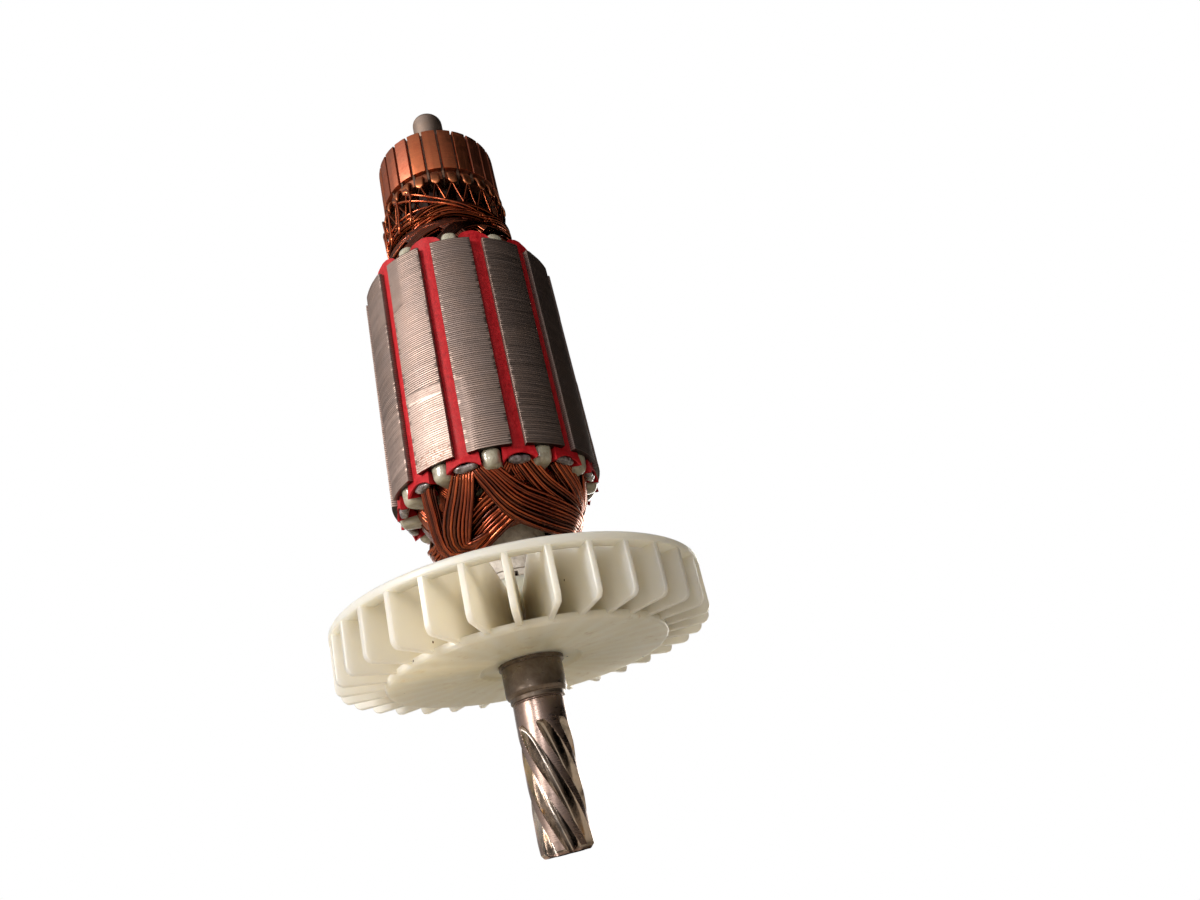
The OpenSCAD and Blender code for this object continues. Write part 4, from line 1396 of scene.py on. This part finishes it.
def barCopper(name, tone, rough):
    m, tree, bsdf = startFinish(name, tone, 1.0, rough)
    rub = cloud(tree, turnedPlace(tree, (0.15, 1, 3)), 1.1, 5, 0.6)
    blot = cloud(tree, placeIn(tree), 2.4, 5, 0.65, 0.6)
    mix = mixColor(tree, grade(tree, blot, 0.42, 0.7, 0, 0.75), tone, scaled(tone, (0.5, 0.42, 0.42)))
    mix = mixColor(tree, grade(tree, rub, 0.35, 0.7, 0, 0.35), mix, scaled(tone, 1.35))
    edge = grade(tree, addNode(tree, "NewGeometry", out="Pointiness"), 0.5, 0.56, 0, 0.6)
    mix = mixColor(tree, edge, mix, scaled(tone, 1.5, 0.03))
    under = bumpFrom(tree, rub, 0.25, 0.03)
    dents = bumpFrom(tree, cloud(tree, placeIn(tree), 0.6, 4), 0.3, 0.06, under)
    feed(tree, bsdf, mix, grade(tree, blot, 0.35, 0.65, rough - 0.06, rough + 0.16), dents)
    return m


def barMesh(seed):
    # a bar about angle 0: its flat outline carried round, narrower at the first and last rings
    s = barSet
    outline = rounded([
        (s["innerR"], s["riserLow"]), (s["riserR"], s["riserLow"]), (s["riserR"], s["low"] - 0.02),
        (s["r"], s["low"]), (s["r"], s["high"] - 0.3), (s["r"] - 0.3, s["high"]), (s["innerR"], s["high"])],
        0.14, 2, closed=True)
    inner = shrunk(outline, s["edge"])
    rows = 12
    verts = []
    for j in range(rows + 1):
        atEnd = j in (0, rows)
        share = j / rows if atEnd else (j - 1) / (rows - 2)
        for r, z in inner if atEnd else outline:
            half = barPitch / 2 - math.degrees(math.asin((s["gap"] / 2) / r))
            if not atEnd:
                half -= math.degrees(s["edge"] / r) * 0.6
            a = between(-half, half, share)
            wear = 0.03 * wander(a, r, z, 3.5, seed) if r > s["r"] - 0.2 else 0
            verts.append(polar(r + wear, a, z))
    return verts, ringFaces(rows + 1, len(outline)) + endFaces(rows + 1, len(outline))


def hookMesh(bend):
    # strip bent out of the riser and down over the leads, round at its end
    s = barSet
    tip, r0, low = s["low"] - s["hookLen"] - 0.3, s["riserR"], s["riserLow"]
    line = [(r0 - 0.4, low + 1.7), (r0 + 0.3, low + 1.35), (r0 + 0.85, low + 0.7), (r0 + 1.2, low - 0.4),
            (r0 + 1.3 + bend, tip + 1.2), (r0 + 1.2 + bend, tip + 0.5), (r0 + 1.1 + bend, tip + 0.1)]
    line = curveThrough([(r, 0, z) for r, z in line], 0.3, False)
    verts, sides, rings = [], 20, len(line)
    for i, (r, _, z) in enumerate(line):
        along = (Vector(line[min(rings - 1, i + 1)]) - Vector(line[max(0, i - 1)])).normalized()
        out = Vector((-along.z, 0, along.x))
        if out.x < 0:
            out = -out
        reach = math.dist(line[i], line[-1])
        half = s["hookW"] / 2
        if reach < half:
            half *= math.sqrt(max(0.02, 1 - (1 - reach / half) ** 2))
        thick = s["hookT"] / 2 * (0.8 if reach < 0.3 else 1)
        for j in range(sides):
            ca, sa, _ = polar(1, 360 * j / sides, 0)
            y = half * math.copysign(abs(ca) ** 0.55, ca)
            d = thick * math.copysign(abs(sa) ** 0.7, sa)
            verts.append(tuple(Vector((r, y, z)) + out * d))
    return verts, ringFaces(rings, sides) + endFaces(rings, sides)


def addBars():
    s = barSet
    finishes = [barCopper(*look) for look in (
        ("barOrange", (0.532, 0.159, 0.072), 0.34), ("barPink", (0.486, 0.159, 0.094), 0.4),
        ("barBrown", (0.319, 0.101, 0.058), 0.42), ("hookCopper", (0.395, 0.13, 0.054), 0.36),
        ("riserShadedBrown", (0.182, 0.065, 0.036), 0.45))]
    orange, pink, brown, hook, riser = range(5)
    rng = random.Random(3)
    for k in range(barCount):
        verts, faces = barMesh(k)
        heights = [sum(verts[v][2] for v in f) / len(f) for f in faces]
        more, moreFaces = hookMesh(rng.uniform(-0.12, 0.15))
        turn = s["hookTurn"] + rng.uniform(-0.8, 0.8)
        join(verts, faces, [spun(*v, turn) for v in more], moreFaces)
        tone = rng.choice((orange, orange, pink, brown))
        # the riser under the bars' lower edge is darker brown, partly painted shade
        picks = [riser if z < s["low"] + 0.01 else tone for z in heights] + [hook] * len(moreFaces)
        verts = [spun(*v, barTurn + (k + 0.5) * barPitch) for v in verts]
        name = "%02d" % (k + 1)
        addPiece("bar" + name, verts, faces, finishes, 40, ["commutator_bar_" + name],
                 "commutator_copper", picks)


addBars()
print("bars set")


# dark moulding between and under the bars
def moulding():
    m, tree, bsdf = startFinish("darkMoulding", (0.06, 0.035, 0.025), 0.0, 0.55)
    dust = cloud(tree, placeIn(tree), 1.5, 5, 0.65)
    tone = spread(tree, dust, [
        (0.35, (0.03, 0.018, 0.014)), (0.6, (0.1, 0.055, 0.035)), (0.78, (0.22, 0.13, 0.09))])
    feed(tree, bsdf, tone, grade(tree, dust, 0.3, 0.7, 0.4, 0.7), bumpFrom(tree, dust, 0.4, 0.12))
    return m


def addMoulding():
    s = barSet
    # heights, and whether thin walls reach out between the bars there
    levels = [(s["riserLow"] - 0.4, False), (s["riserLow"], False), (s["riserLow"] + 0.05, True),
              (s["high"] - 0.85, True), (s["high"] - 0.8, False), (s["high"] - 0.4, False)]
    inner, outer, wall = 5.0, s["innerR"] - 0.05, s["r"] - 0.75
    half = s["gap"] / 2 - 0.06
    verts = []
    for z, wide in levels:
        top = wall if wide else outer
        for k in range(barCount):
            mid = barTurn + k * barPitch
            corners = ((outer, -half), (top, -half), (top, half), (outer, half))
            verts += [spun(x, y, z, mid) for x, y in corners]
            verts += [polar(outer, mid + barPitch * t, z) for t in (0.3, 0.5, 0.7)]
    around, n = len(verts) // len(levels), len(verts)
    faces = ringFaces(len(levels), around)
    for z in (levels[0][0], levels[-1][0]):
        verts += [polar(inner, barTurn + 360 * j / around, z) for j in range(around)]
    last = n - around
    for j in range(around):
        i = (j + 1) % around
        faces += [(j, n + j, n + i, i), (last + i, n + around + i, n + around + j, last + j),
                  (n + j, n + around + j, n + around + i, n + i)]
    addPiece("commutatorCore", verts, faces, [moulding()], 40, ["commutator_core"], "moulding")


addMoulding()
print("moulding cast")
